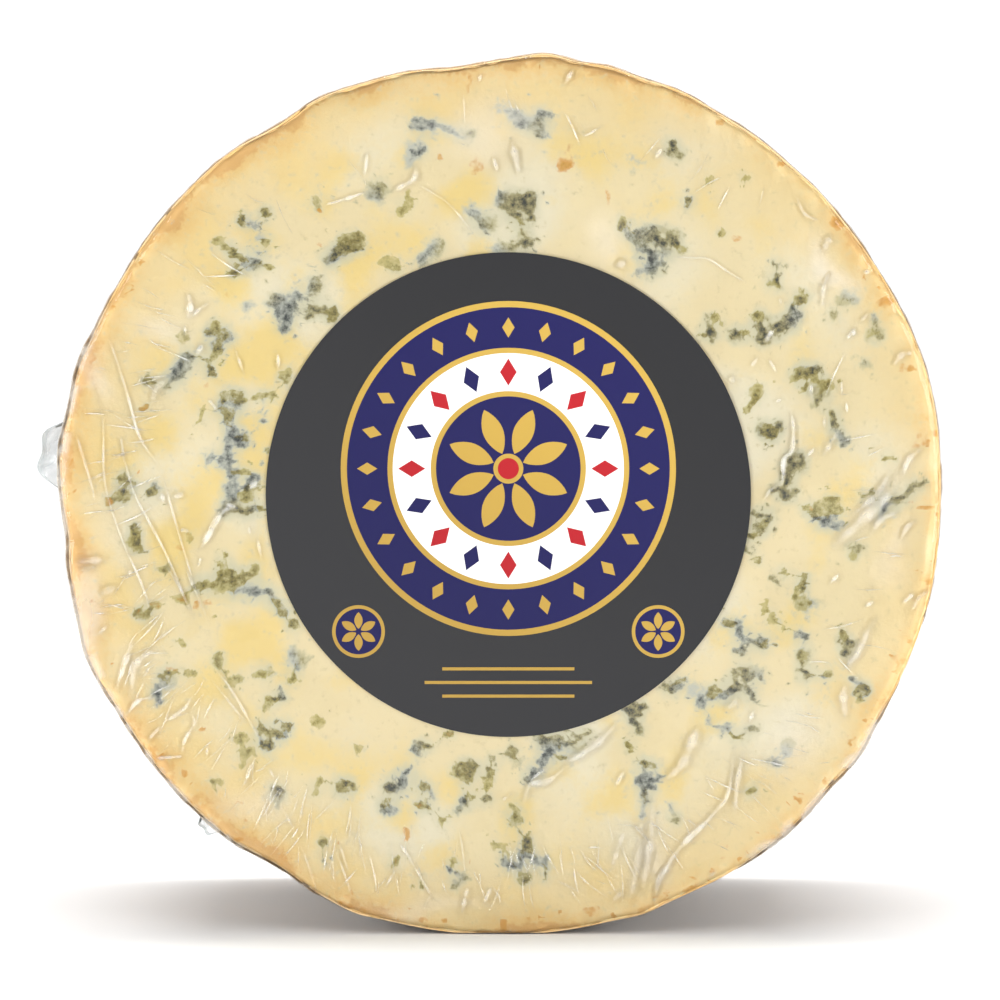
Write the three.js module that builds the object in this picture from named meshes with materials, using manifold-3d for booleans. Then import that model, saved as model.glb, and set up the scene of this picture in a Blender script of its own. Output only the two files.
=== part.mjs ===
// Half a wheel of blue-veined cheese, sealed in clear film, with a round label on its cut face.
// It stands on its rind as a wheel does, on the narrow flat that its own weight gives it.
// Millimetres, +Z up. The wheel's axis lies along Y, and the cut face looks towards -Y.
// Angles on the rim are in degrees, anticlockwise from +X as seen from the front.

import * as THREE from 'three';
import { mergeVertices } from 'three/addons/utils/BufferGeometryUtils.js';
import Module from 'manifold-3d';

const wasm = await Module();
wasm.setup();

// Driving sizes of the wheel
const WHEEL_DIAMETER = 200;
const WHEEL_DEPTH = 125;
const CUT_EDGE_RADIUS = 2.2;
const RIND_EDGE_RADIUS = 13;
const RIND_FALL_IN = 1.4;
const REST_FLAT_WIDTH = 20;
const REST_EASE_ANGLE = 22;

// Driving sizes of the label and of the film
const LABEL_DIAMETER = 110;
const LABEL_THICKNESS = 0.4;
const LABEL_GAP = 0.3;
const LABEL_OFFSET = { x: 1.8, z: 0.6 };
const FILM_EAR_THICKNESS = 1.2;
const FILM_GATHER_RADIUS = 24;
const FILM_GATHER_HEIGHT = 2.2;
const FILM_PLEATS = 20;
const FILM_PLEAT_HEIGHT = 1.1;

// How finely the round shapes are faceted
const RIM_STEPS = 120;
const LABEL_STEPS = 96;
const SIDE_RINGS = 11;
const EDGE_RINGS = 4;
const FACE_RINGS = 5;

const WHEEL_RADIUS = WHEEL_DIAMETER / 2;
const HALF_DEPTH = WHEEL_DEPTH / 2;
const LABEL_RADIUS = LABEL_DIAMETER / 2;
const REST_DEPTH = Math.sqrt(WHEEL_RADIUS ** 2 - (REST_FLAT_WIDTH / 2) ** 2);

// Where the hand-made rim swells out or falls in: its middle, its height and its spread.
const RIM_SWELLS = [
  { at: 16, high: 1.0, wide: 11 },
  { at: 44, high: 0.3, wide: 4 },
  { at: 55, high: 0.4, wide: 5 },
  { at: 66, high: 0.9, wide: 5 },
  { at: 76, high: 0.8, wide: 4 },
  { at: 84, high: 1.3, wide: 3 },
  { at: 96, high: -1.9, wide: 6 },
  { at: 107, high: -0.9, wide: 6 },
  { at: 121, high: -1.5, wide: 5 },
  { at: 136, high: -0.5, wide: 10 },
  { at: 150, high: -0.6, wide: 6 },
  { at: 163, high: 0.8, wide: 4 },
  { at: 174, high: 1.2, wide: 5 },
  { at: 185, high: -0.8, wide: 3 },
  { at: 202, high: 1.2, wide: 5 },
  { at: 239, high: -1.3, wide: 5 },
  { at: 251, high: 0.6, wide: 3 },
  { at: 289, high: 0.6, wide: 3 },
  { at: 309, high: 1.0, wide: 9 },
  { at: 324, high: 1.0, wide: 4 },
  { at: 348, high: 0.3, wide: 8 },
];

// Ears of spare film that stand out of the side: where, how long, how far out and how far back.
const FILM_EARS = [
  { at: 175, long: 19, out: 5.2, back: 16 },
  { at: 228.5, long: 7, out: 2.8, back: 10 },
];

const { degToRad, radToDeg, smoothstep } = THREE.MathUtils;

// The rim's departure from a true circle at an angle.
function rimSwell(angle) {
  return RIM_SWELLS.reduce((sum, swell) => {
    const away = THREE.MathUtils.euclideanModulo(angle - swell.at + 180, 360) - 180;
    return sum + swell.high * Math.exp(-((away / swell.wide) ** 2));
  }, 0);
}

// Slow hollows and ridges of the rind, which falls in a little behind the cut edge.
// They fade out at the cut edge and over the resting flat.
function rindRelief(angle, y) {
  const around = degToRad(angle);
  const fromRest = Math.abs(THREE.MathUtils.euclideanModulo(angle + 90 + 180, 360) - 180);
  const behindCut = (y + HALF_DEPTH) / WHEEL_DEPTH;
  const waves =
    0.7 * Math.sin(7 * around + 4 * behindCut) +
    0.6 * Math.sin(13 * around - 9 * behindCut + 1) +
    0.5 * Math.sin(3 * around + 14 * behindCut + 2);
  const nearCut = (waves - RIND_FALL_IN) * smoothstep(behindCut, 0.02, 0.3);
  const relief = nearCut - 1.2 * smoothstep(behindCut, 0.5, 1);
  return relief * smoothstep(fromRest, REST_EASE_ANGLE / 2, REST_EASE_ANGLE * 1.5);
}

// Film drawn over the face: flat under the label, loosely waved between it and the rim.
function frontRelief(angle, radius) {
  const around = degToRad(angle);
  const clear = smoothstep(radius, LABEL_RADIUS + 2, LABEL_RADIUS + 16);
  return clear * 0.3 * (Math.sin(5 * around + radius / 9) + Math.sin(11 * around - radius / 13));
}

// Film gathered on the back: pleats run in from the rim to a low bunch in the middle.
function backRelief(angle, radius) {
  const around = degToRad(angle);
  const pleat = Math.abs(Math.sin((FILM_PLEATS / 2) * around + 0.5 * Math.sin(radius / 16)));
  const reach = smoothstep(radius, 6, FILM_GATHER_RADIUS) * (1 - smoothstep(radius, 55, WHEEL_RADIUS));
  const bunch = 1 - smoothstep(radius, FILM_GATHER_RADIUS / 2, FILM_GATHER_RADIUS * 1.5);
  return FILM_PLEAT_HEIGHT * pleat * reach + FILM_GATHER_HEIGHT * bunch;
}

// Half section of the wheel, from the middle of the cut face round to the middle of the back.
function wheelProfile() {
  const points = [];
  const frontRim = WHEEL_RADIUS - CUT_EDGE_RADIUS;
  const backRim = WHEEL_RADIUS - RIND_EDGE_RADIUS;
  for (let i = 0; i < FACE_RINGS; i++) {
    points.push(new THREE.Vector2((frontRim * i) / FACE_RINGS, -HALF_DEPTH));
  }
  const edge = (radius, middle, from) => {
    for (let i = 0; i <= EDGE_RINGS; i++) {
      const turn = from + (Math.PI / 2) * (i / EDGE_RINGS);
      points.push(new THREE.Vector2(Math.cos(turn), Math.sin(turn)).multiplyScalar(radius).add(middle));
    }
  };
  edge(CUT_EDGE_RADIUS, new THREE.Vector2(frontRim, -HALF_DEPTH + CUT_EDGE_RADIUS), -Math.PI / 2);
  const sideStart = -HALF_DEPTH + CUT_EDGE_RADIUS;
  const sideEnd = HALF_DEPTH - RIND_EDGE_RADIUS;
  for (let i = 1; i < SIDE_RINGS; i++) {
    points.push(new THREE.Vector2(WHEEL_RADIUS, THREE.MathUtils.lerp(sideStart, sideEnd, i / SIDE_RINGS)));
  }
  edge(RIND_EDGE_RADIUS, new THREE.Vector2(backRim, sideEnd), 0);
  for (let i = FACE_RINGS - 1; i >= 0; i--) {
    points.push(new THREE.Vector2((backRim * i) / FACE_RINGS, HALF_DEPTH));
  }
  return points;
}

// The turned wheel with its rim, rind and film relief, and the flat that it rests on.
function wheelGeometry() {
  const geometry = new THREE.LatheGeometry(wheelProfile(), RIM_STEPS);
  const position = geometry.getAttribute('position');
  const point = new THREE.Vector3();
  for (let i = 0; i < position.count; i++) {
    point.fromBufferAttribute(position, i);
    const radius = Math.hypot(point.x, point.z);
    if (radius > 1e-6) {
      const angle = radToDeg(Math.atan2(point.z, point.x));
      const outward = (radius / WHEEL_RADIUS) ** 2;
      const swollen = radius + outward * (rimSwell(angle) + rindRelief(angle, point.y));
      point.x *= swollen / radius;
      point.z *= swollen / radius;
      if (point.y < 0) point.y -= frontRelief(angle, radius) * (1 - smoothstep(radius, 92, WHEEL_RADIUS));
      else if (point.y > HALF_DEPTH - 1) point.y += backRelief(angle, radius);
    } else if (point.y > 0) {
      point.y += backRelief(0, 0);
    }
    point.z = Math.max(point.z, -REST_DEPTH);
    position.setXYZ(i, point.x, point.y, point.z);
  }
  return geometry;
}

// One ear of film: a thin flap with rounded corners, rooted in the side.
function earGeometry({ at, long, out, back }) {
  const root = WHEEL_RADIUS - 4;
  const tip = WHEEL_RADIUS + out;
  const outline = new THREE.Shape();
  outline.moveTo(root, -long / 2 - 2);
  outline.bezierCurveTo(WHEEL_RADIUS, -long / 2, tip - out / 2, -long / 2 + 2, tip, -long / 6);
  outline.lineTo(tip, long / 4);
  outline.bezierCurveTo(tip, long / 2 - 1, WHEEL_RADIUS + 1, long / 2, root, long / 2 + 1);
  outline.closePath();
  const geometry = new THREE.ExtrudeGeometry(outline, {
    depth: FILM_EAR_THICKNESS,
    bevelEnabled: false,
    curveSegments: 6,
  });
  // The flap's own plane turns from XY into the plane of the cut face.
  geometry.rotateX(Math.PI / 2);
  geometry.rotateY(-degToRad(at));
  return geometry.translate(0, -HALF_DEPTH + back, 0);
}

// A three.js geometry as a closed solid of the boolean library, and back.
function solidOf(geometry) {
  const bare = geometry.index ? geometry.toNonIndexed() : geometry.clone();
  bare.deleteAttribute('normal');
  bare.deleteAttribute('uv');
  const merged = mergeVertices(bare, 1e-4);
  return new wasm.Manifold(
    new wasm.Mesh({
      numProp: 3,
      vertProperties: merged.getAttribute('position').array,
      triVerts: new Uint32Array(merged.index.array),
    }),
  );
}

function geometryOf(solid) {
  const { vertProperties, triVerts } = solid.getMesh();
  const geometry = new THREE.BufferGeometry();
  geometry.setAttribute('position', new THREE.BufferAttribute(new Float32Array(vertProperties), 3));
  geometry.setIndex(new THREE.BufferAttribute(new Uint32Array(triVerts), 1));
  geometry.computeVertexNormals();
  return geometry;
}

// The sealed pack: the cheese and the film that clings to it, as one outer form.
function wheelInFilm() {
  const solid = FILM_EARS.reduce(
    (joined, ear) => joined.add(solidOf(earGeometry(ear))),
    solidOf(wheelGeometry()),
  );
  const material = new THREE.MeshStandardMaterial({ color: 0xf0dca4, roughness: 0.3, metalness: 0 });
  const mesh = new THREE.Mesh(geometryOf(solid), material);
  mesh.name = 'wheel_in_film';
  return mesh;
}

// The round paper label, stuck on the film over the middle of the cut face.
function label() {
  const geometry = new THREE.CylinderGeometry(LABEL_RADIUS, LABEL_RADIUS, LABEL_THICKNESS, LABEL_STEPS);
  const material = new THREE.MeshStandardMaterial({ color: 0x48484a, roughness: 0.5, metalness: 0 });
  const mesh = new THREE.Mesh(geometry, material);
  mesh.name = 'label';
  const depth = HALF_DEPTH + LABEL_GAP + LABEL_THICKNESS / 2;
  mesh.position.set(LABEL_OFFSET.x, -depth, LABEL_OFFSET.z);
  return mesh;
}

// The frame's origin is at the middle of the foot of the object's box.
const object = new THREE.Group();
object.add(wheelInFilm(), label());
const box = new THREE.Box3().setFromObject(object, true);
const middle = box.getCenter(new THREE.Vector3());
object.position.set(-middle.x, -middle.y, -box.min.z);

const part = new THREE.Group();
part.add(object);

export default part;
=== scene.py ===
# %% [markdown]
# # Half a wheel of blue cheese, sealed in clear film
#
# A drum-shaped blue cheese is cut across its middle, and each half is wrapped tightly in
# clear film with a round paper label on the cut face. This half stands on its rind, as a
# wheel stands, with the cut face towards the camera.
#
# Six pieces make it up, from the inside outwards: the paste, the rind, the film, its
# folds, its spare ears, and the label. The lesson builds each one as a mesh from arrays
# of numbers, then gives it a finish made of nodes.

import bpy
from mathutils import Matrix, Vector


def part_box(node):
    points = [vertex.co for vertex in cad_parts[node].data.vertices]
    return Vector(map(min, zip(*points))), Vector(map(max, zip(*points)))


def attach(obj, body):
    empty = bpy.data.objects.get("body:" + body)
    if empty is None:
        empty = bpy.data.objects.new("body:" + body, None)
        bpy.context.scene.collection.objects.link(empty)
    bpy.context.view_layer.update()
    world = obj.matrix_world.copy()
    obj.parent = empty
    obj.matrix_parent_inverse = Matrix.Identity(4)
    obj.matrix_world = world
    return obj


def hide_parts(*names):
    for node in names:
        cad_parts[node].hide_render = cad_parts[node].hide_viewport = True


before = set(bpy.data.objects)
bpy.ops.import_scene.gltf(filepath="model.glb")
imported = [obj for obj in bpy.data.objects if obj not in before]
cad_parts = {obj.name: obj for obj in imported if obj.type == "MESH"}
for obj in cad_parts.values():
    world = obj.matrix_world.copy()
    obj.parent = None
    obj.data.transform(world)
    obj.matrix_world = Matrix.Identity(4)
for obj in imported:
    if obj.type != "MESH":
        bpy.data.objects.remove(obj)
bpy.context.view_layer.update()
print("The frame has the nodes", sorted(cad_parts))

# %% Bring in the tools
import math
import random

import bpy
import numpy as np
from mathutils import Vector, noise
from mathutils.geometry import delaunay_2d_cdt

# %% [markdown]
# ## The wheel's own measure
#
# The wheel is built round its own axis, where its shapes are simple. A point is given by x
# to the right and z up from the axis, and by how far it lies behind the cut face, all in
# millimetres. One function at the end turns that into the frame's metres. The axis is
# found from the label, which is stuck 1.8 mm to the right of it and 0.6 mm above it.

# %% Sizes of the real wheel, in millimetres
MM = 0.001
WHEEL_RADIUS = 100
WHEEL_DEPTH = 125
CUT_EDGE_RADIUS = 2.2
RIND_EDGE_RADIUS = 13
RIND_FALL_IN = 1.4
REST_FLAT_WIDTH = 20
REST_EASE_ANGLE = 22
FOOT_ANGLE = 270
LABEL_RADIUS = 55
LABEL_THICKNESS = 0.4
LABEL_GAP = 0.3
LABEL_RIGHT = 1.8
LABEL_UP = 0.6

rest_depth = math.sqrt(WHEEL_RADIUS**2 - (REST_FLAT_WIDTH / 2) ** 2)
label_low, label_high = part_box("label")
axis_x = (label_low.x + label_high.x) / 2 / MM - LABEL_RIGHT
axis_z = (label_low.z + label_high.z) / 2 / MM - LABEL_UP
face_y = label_high.y / MM + LABEL_GAP
print(f"The axis is at x {axis_x:.2f}, z {axis_z:.2f} mm and the cut face at y {face_y:.2f} mm")


def in_frame(x, z, behind):
    """Millimetres on the wheel as an array of points in the frame's metres."""
    x, z, behind = np.broadcast_arrays(x, z, behind)
    return np.stack([axis_x + x, face_y + behind, axis_z + z], axis=-1).reshape(-1, 3) * MM


# %% [markdown]
# ## The hand-made shape
#
# No such wheel is a true cylinder. The rim swells out and falls in by a millimetre or two,
# the rind has slow hollows, and the weight presses a narrow flat where it stands. The film
# is drawn over the face and gathered on the back. Sculpting could do this, but a few waves
# and bumps in a function keep every piece on the same shape: the rind, the film and the
# paste all ask this one for their radius.

# %% The rim, the rind's hollows and the film's pleats
# Where the rim swells out or falls in: the middle in degrees, the height in millimetres,
# and the spread in degrees.
RIM_SWELLS = (
    (16, 1.0, 11), (44, 0.3, 4), (55, 0.4, 5), (66, 0.9, 5), (76, 0.8, 4), (84, 1.3, 3),
    (96, -1.9, 6), (107, -0.9, 6), (121, -1.5, 5), (136, -0.5, 10), (150, -0.6, 6),
    (163, 0.8, 4), (174, 1.2, 5), (185, -0.8, 3), (202, 1.2, 5), (239, -1.3, 5),
    (251, 0.6, 3), (289, 0.6, 3), (309, 1.0, 9), (324, 1.0, 4), (348, 0.3, 8),
)
FACE_WAVES = 0.3
GATHER_RADIUS = 24
GATHER_HEIGHT = 2.2
PLEATS = 20
PLEAT_HEIGHT = 1.1


def ease(value, low, high):
    """0 below low, 1 above high, and a smooth step between."""
    part = np.clip((np.asarray(value, float) - low) / (high - low), 0, 1)
    return part * part * (3 - 2 * part)


def degrees_from(angle, middle):
    """How far an angle in degrees is from a middle, from -180 to 180."""
    return (np.asarray(angle) - middle + 180) % 360 - 180


def rim_swell(angle):
    """The rim's departure from a true circle."""
    return sum(high * np.exp(-((degrees_from(angle, at) / wide) ** 2)) for at, high, wide in RIM_SWELLS)


def off_foot(angle, low, high):
    """0 within low degrees of the foot of the wheel and 1 beyond high degrees."""
    return ease(abs(degrees_from(angle, FOOT_ANGLE)), low, high)


def rind_relief(angle, behind):
    """The slow hollows of the rind, which fade out at the cut edge and over the flat."""
    around = np.radians(angle)
    depth = behind / WHEEL_DEPTH
    waves = 0.7 * np.sin(7 * around + 4 * depth)
    waves = waves + 0.6 * np.sin(13 * around - 9 * depth + 1) + 0.5 * np.sin(3 * around + 14 * depth + 2)
    relief = (waves - RIND_FALL_IN) * ease(depth, 0.02, 0.3) - 1.2 * ease(depth, 0.5, 1)
    return relief * off_foot(angle, REST_EASE_ANGLE / 2, REST_EASE_ANGLE * 1.5)


def face_relief(angle, radius):
    """How far the drawn film and the paste under it rise towards the front."""
    around = np.radians(angle)
    clear = ease(radius, LABEL_RADIUS + 2, LABEL_RADIUS + 16) * (1 - ease(radius, 92, WHEEL_RADIUS))
    return clear * FACE_WAVES * (np.sin(5 * around + radius / 9) + np.sin(11 * around - radius / 13))


def back_relief(angle, radius):
    """The pleats and the low bunch that the gathered film makes on the back."""
    around = np.radians(angle)
    pleat = abs(np.sin(PLEATS / 2 * around + 0.5 * np.sin(radius / 16)))
    reach = ease(radius, 6, GATHER_RADIUS) * (1 - ease(radius, 55, WHEEL_RADIUS))
    bunch = 1 - ease(radius, GATHER_RADIUS / 2, GATHER_RADIUS * 1.5)
    return PLEAT_HEIGHT * pleat * reach + GATHER_HEIGHT * bunch


def rim_radius(angle, behind, plain_radius, inset):
    """The radius of the hand-made wheel where a plain one has plain_radius, less an inset."""
    outward = (plain_radius / WHEEL_RADIUS) ** 2
    radius = plain_radius + outward * (rim_swell(angle) + rind_relief(angle, behind)) - inset
    downward = np.maximum(-np.sin(np.radians(angle)), 0.3)
    return np.minimum(radius, (rest_depth - inset) / downward)


print(f"At its widest the rim stands {rim_swell(np.arange(360)).max():.1f} mm outside a true circle")

# %% [markdown]
# ## From rings to a mesh
#
# Paste, rind and film are each a closed skin of rings round the axis, like the parallels
# of a globe, with a single point at either end. One function joins the rings with
# four-sided faces. It also stores numbers at the points, such as how mouldy the paste is
# there, and the finishes read them with an Attribute node.

# %% Build a skin from rings


def grid_faces(index):
    """Four-sided faces between the neighbours in a grid of point numbers."""
    corners = [index[:-1, :-1], index[1:, :-1], index[1:, 1:], index[:-1, 1:]]
    return np.stack(corners, axis=-1).reshape(-1, 4)


def mesh_piece(name, points, faces, fields):
    """A smooth mesh object with its stored numbers, which rides with the wheel."""
    mesh = bpy.data.meshes.new(name)
    mesh.from_pydata(points.tolist(), [], faces)
    mesh.validate()
    mesh.shade_smooth()
    for field, values in fields.items():
        stored = mesh.attributes.new(field, "FLOAT", "POINT")
        stored.data.foreach_set("value", np.asarray(values, np.float32).ravel())
    piece = bpy.data.objects.new(name, mesh)
    bpy.context.scene.collection.objects.link(piece)
    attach(piece, "root")
    triangles = sum(len(face) - 2 for face in faces)
    print(f"{name}: {len(points)} points, {triangles} triangles")
    return piece


def turned_skin(name, x, z, behind, fields):
    """A closed skin. The arrays have a row for each ring, and the end rings close to a point."""
    rings, steps = x.shape
    first = in_frame(x[0].mean(), z[0].mean(), behind[0].mean())
    last = in_frame(x[-1].mean(), z[-1].mean(), behind[-1].mean())
    points = np.concatenate([first, in_frame(x, z, behind), last])
    index = np.arange(rings * steps).reshape(rings, steps) + 1
    index = np.hstack([index, index[:, :1]])
    start = np.stack([np.zeros(steps, int), index[0, :-1], index[0, 1:]], axis=-1)
    end = np.stack([np.full(steps, len(points) - 1), index[-1, 1:], index[-1, :-1]], axis=-1)
    faces = start.tolist() + grid_faces(index).tolist() + end.tolist()
    stored = {
        field: np.concatenate([[rows[0].mean()], rows.ravel(), [rows[-1].mean()]])
        for field, rows in fields.items()
    }
    return mesh_piece(name, points, faces, stored)


print("The faces between two rings of 4 points:", grid_faces(np.arange(10).reshape(2, 5)).tolist())

# %% [markdown]
# ## Finishes made of nodes
#
# A finish is a small graph of nodes. Each one below starts from an empty graph, and one
# function adds a node with its settings, its values and its links. Colours are written as
# they look on a screen and turned into the linear values that the renderer works with.

# %% Helpers for finishes


def hex_to_linear(colour):
    """A screen colour such as F6E6B4 as linear red, green, blue and a full alpha."""
    parts = [int(colour[i : i + 2], 16) / 255 for i in (0, 2, 4)]
    return [part / 12.92 if part <= 0.04045 else ((part + 0.055) / 1.055) ** 2.4 for part in parts] + [1]


def add(tree, kind, inputs=None, **settings):
    """Adds one node. An input is a plain value or another node's output."""
    node = tree.nodes.new(kind)
    for setting, value in settings.items():
        setattr(node, setting, value)
    for socket, value in (inputs or {}).items():
        if isinstance(value, bpy.types.NodeSocket):
            tree.links.new(value, node.inputs[socket])
        else:
            node.inputs[socket].default_value = value
    return node


def new_finish(name):
    """An empty material, and its tree of nodes."""
    finish = bpy.data.materials.new(name)
    finish.use_nodes = True
    finish.node_tree.nodes.clear()
    return finish, finish.node_tree


def layered(tree, base, layers):
    """A base colour with soft-edged layers over it, as the colour output of the last of them.

    A layer is a pattern, where on that pattern it starts and where it is full, how well it
    covers, and its colour, which may be another output.
    """
    paint = hex_to_linear(base)
    for pattern, start, full, cover, colour in layers:
        limits = {"Value": pattern, "From Min": start, "From Max": full, "To Max": cover}
        where = add(tree, "ShaderNodeMapRange", limits, interpolation_type="SMOOTHSTEP").outputs["Result"]
        colour = hex_to_linear(colour) if isinstance(colour, str) else colour
        paint = add(tree, "ShaderNodeMix", {0: where, 6: paint, 7: colour}, data_type="RGBA").outputs[2]
    return paint


print("sRGB F6E6B4 is", [round(part, 3) for part in hex_to_linear("F6E6B4")[:3]], "in linear light")
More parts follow.
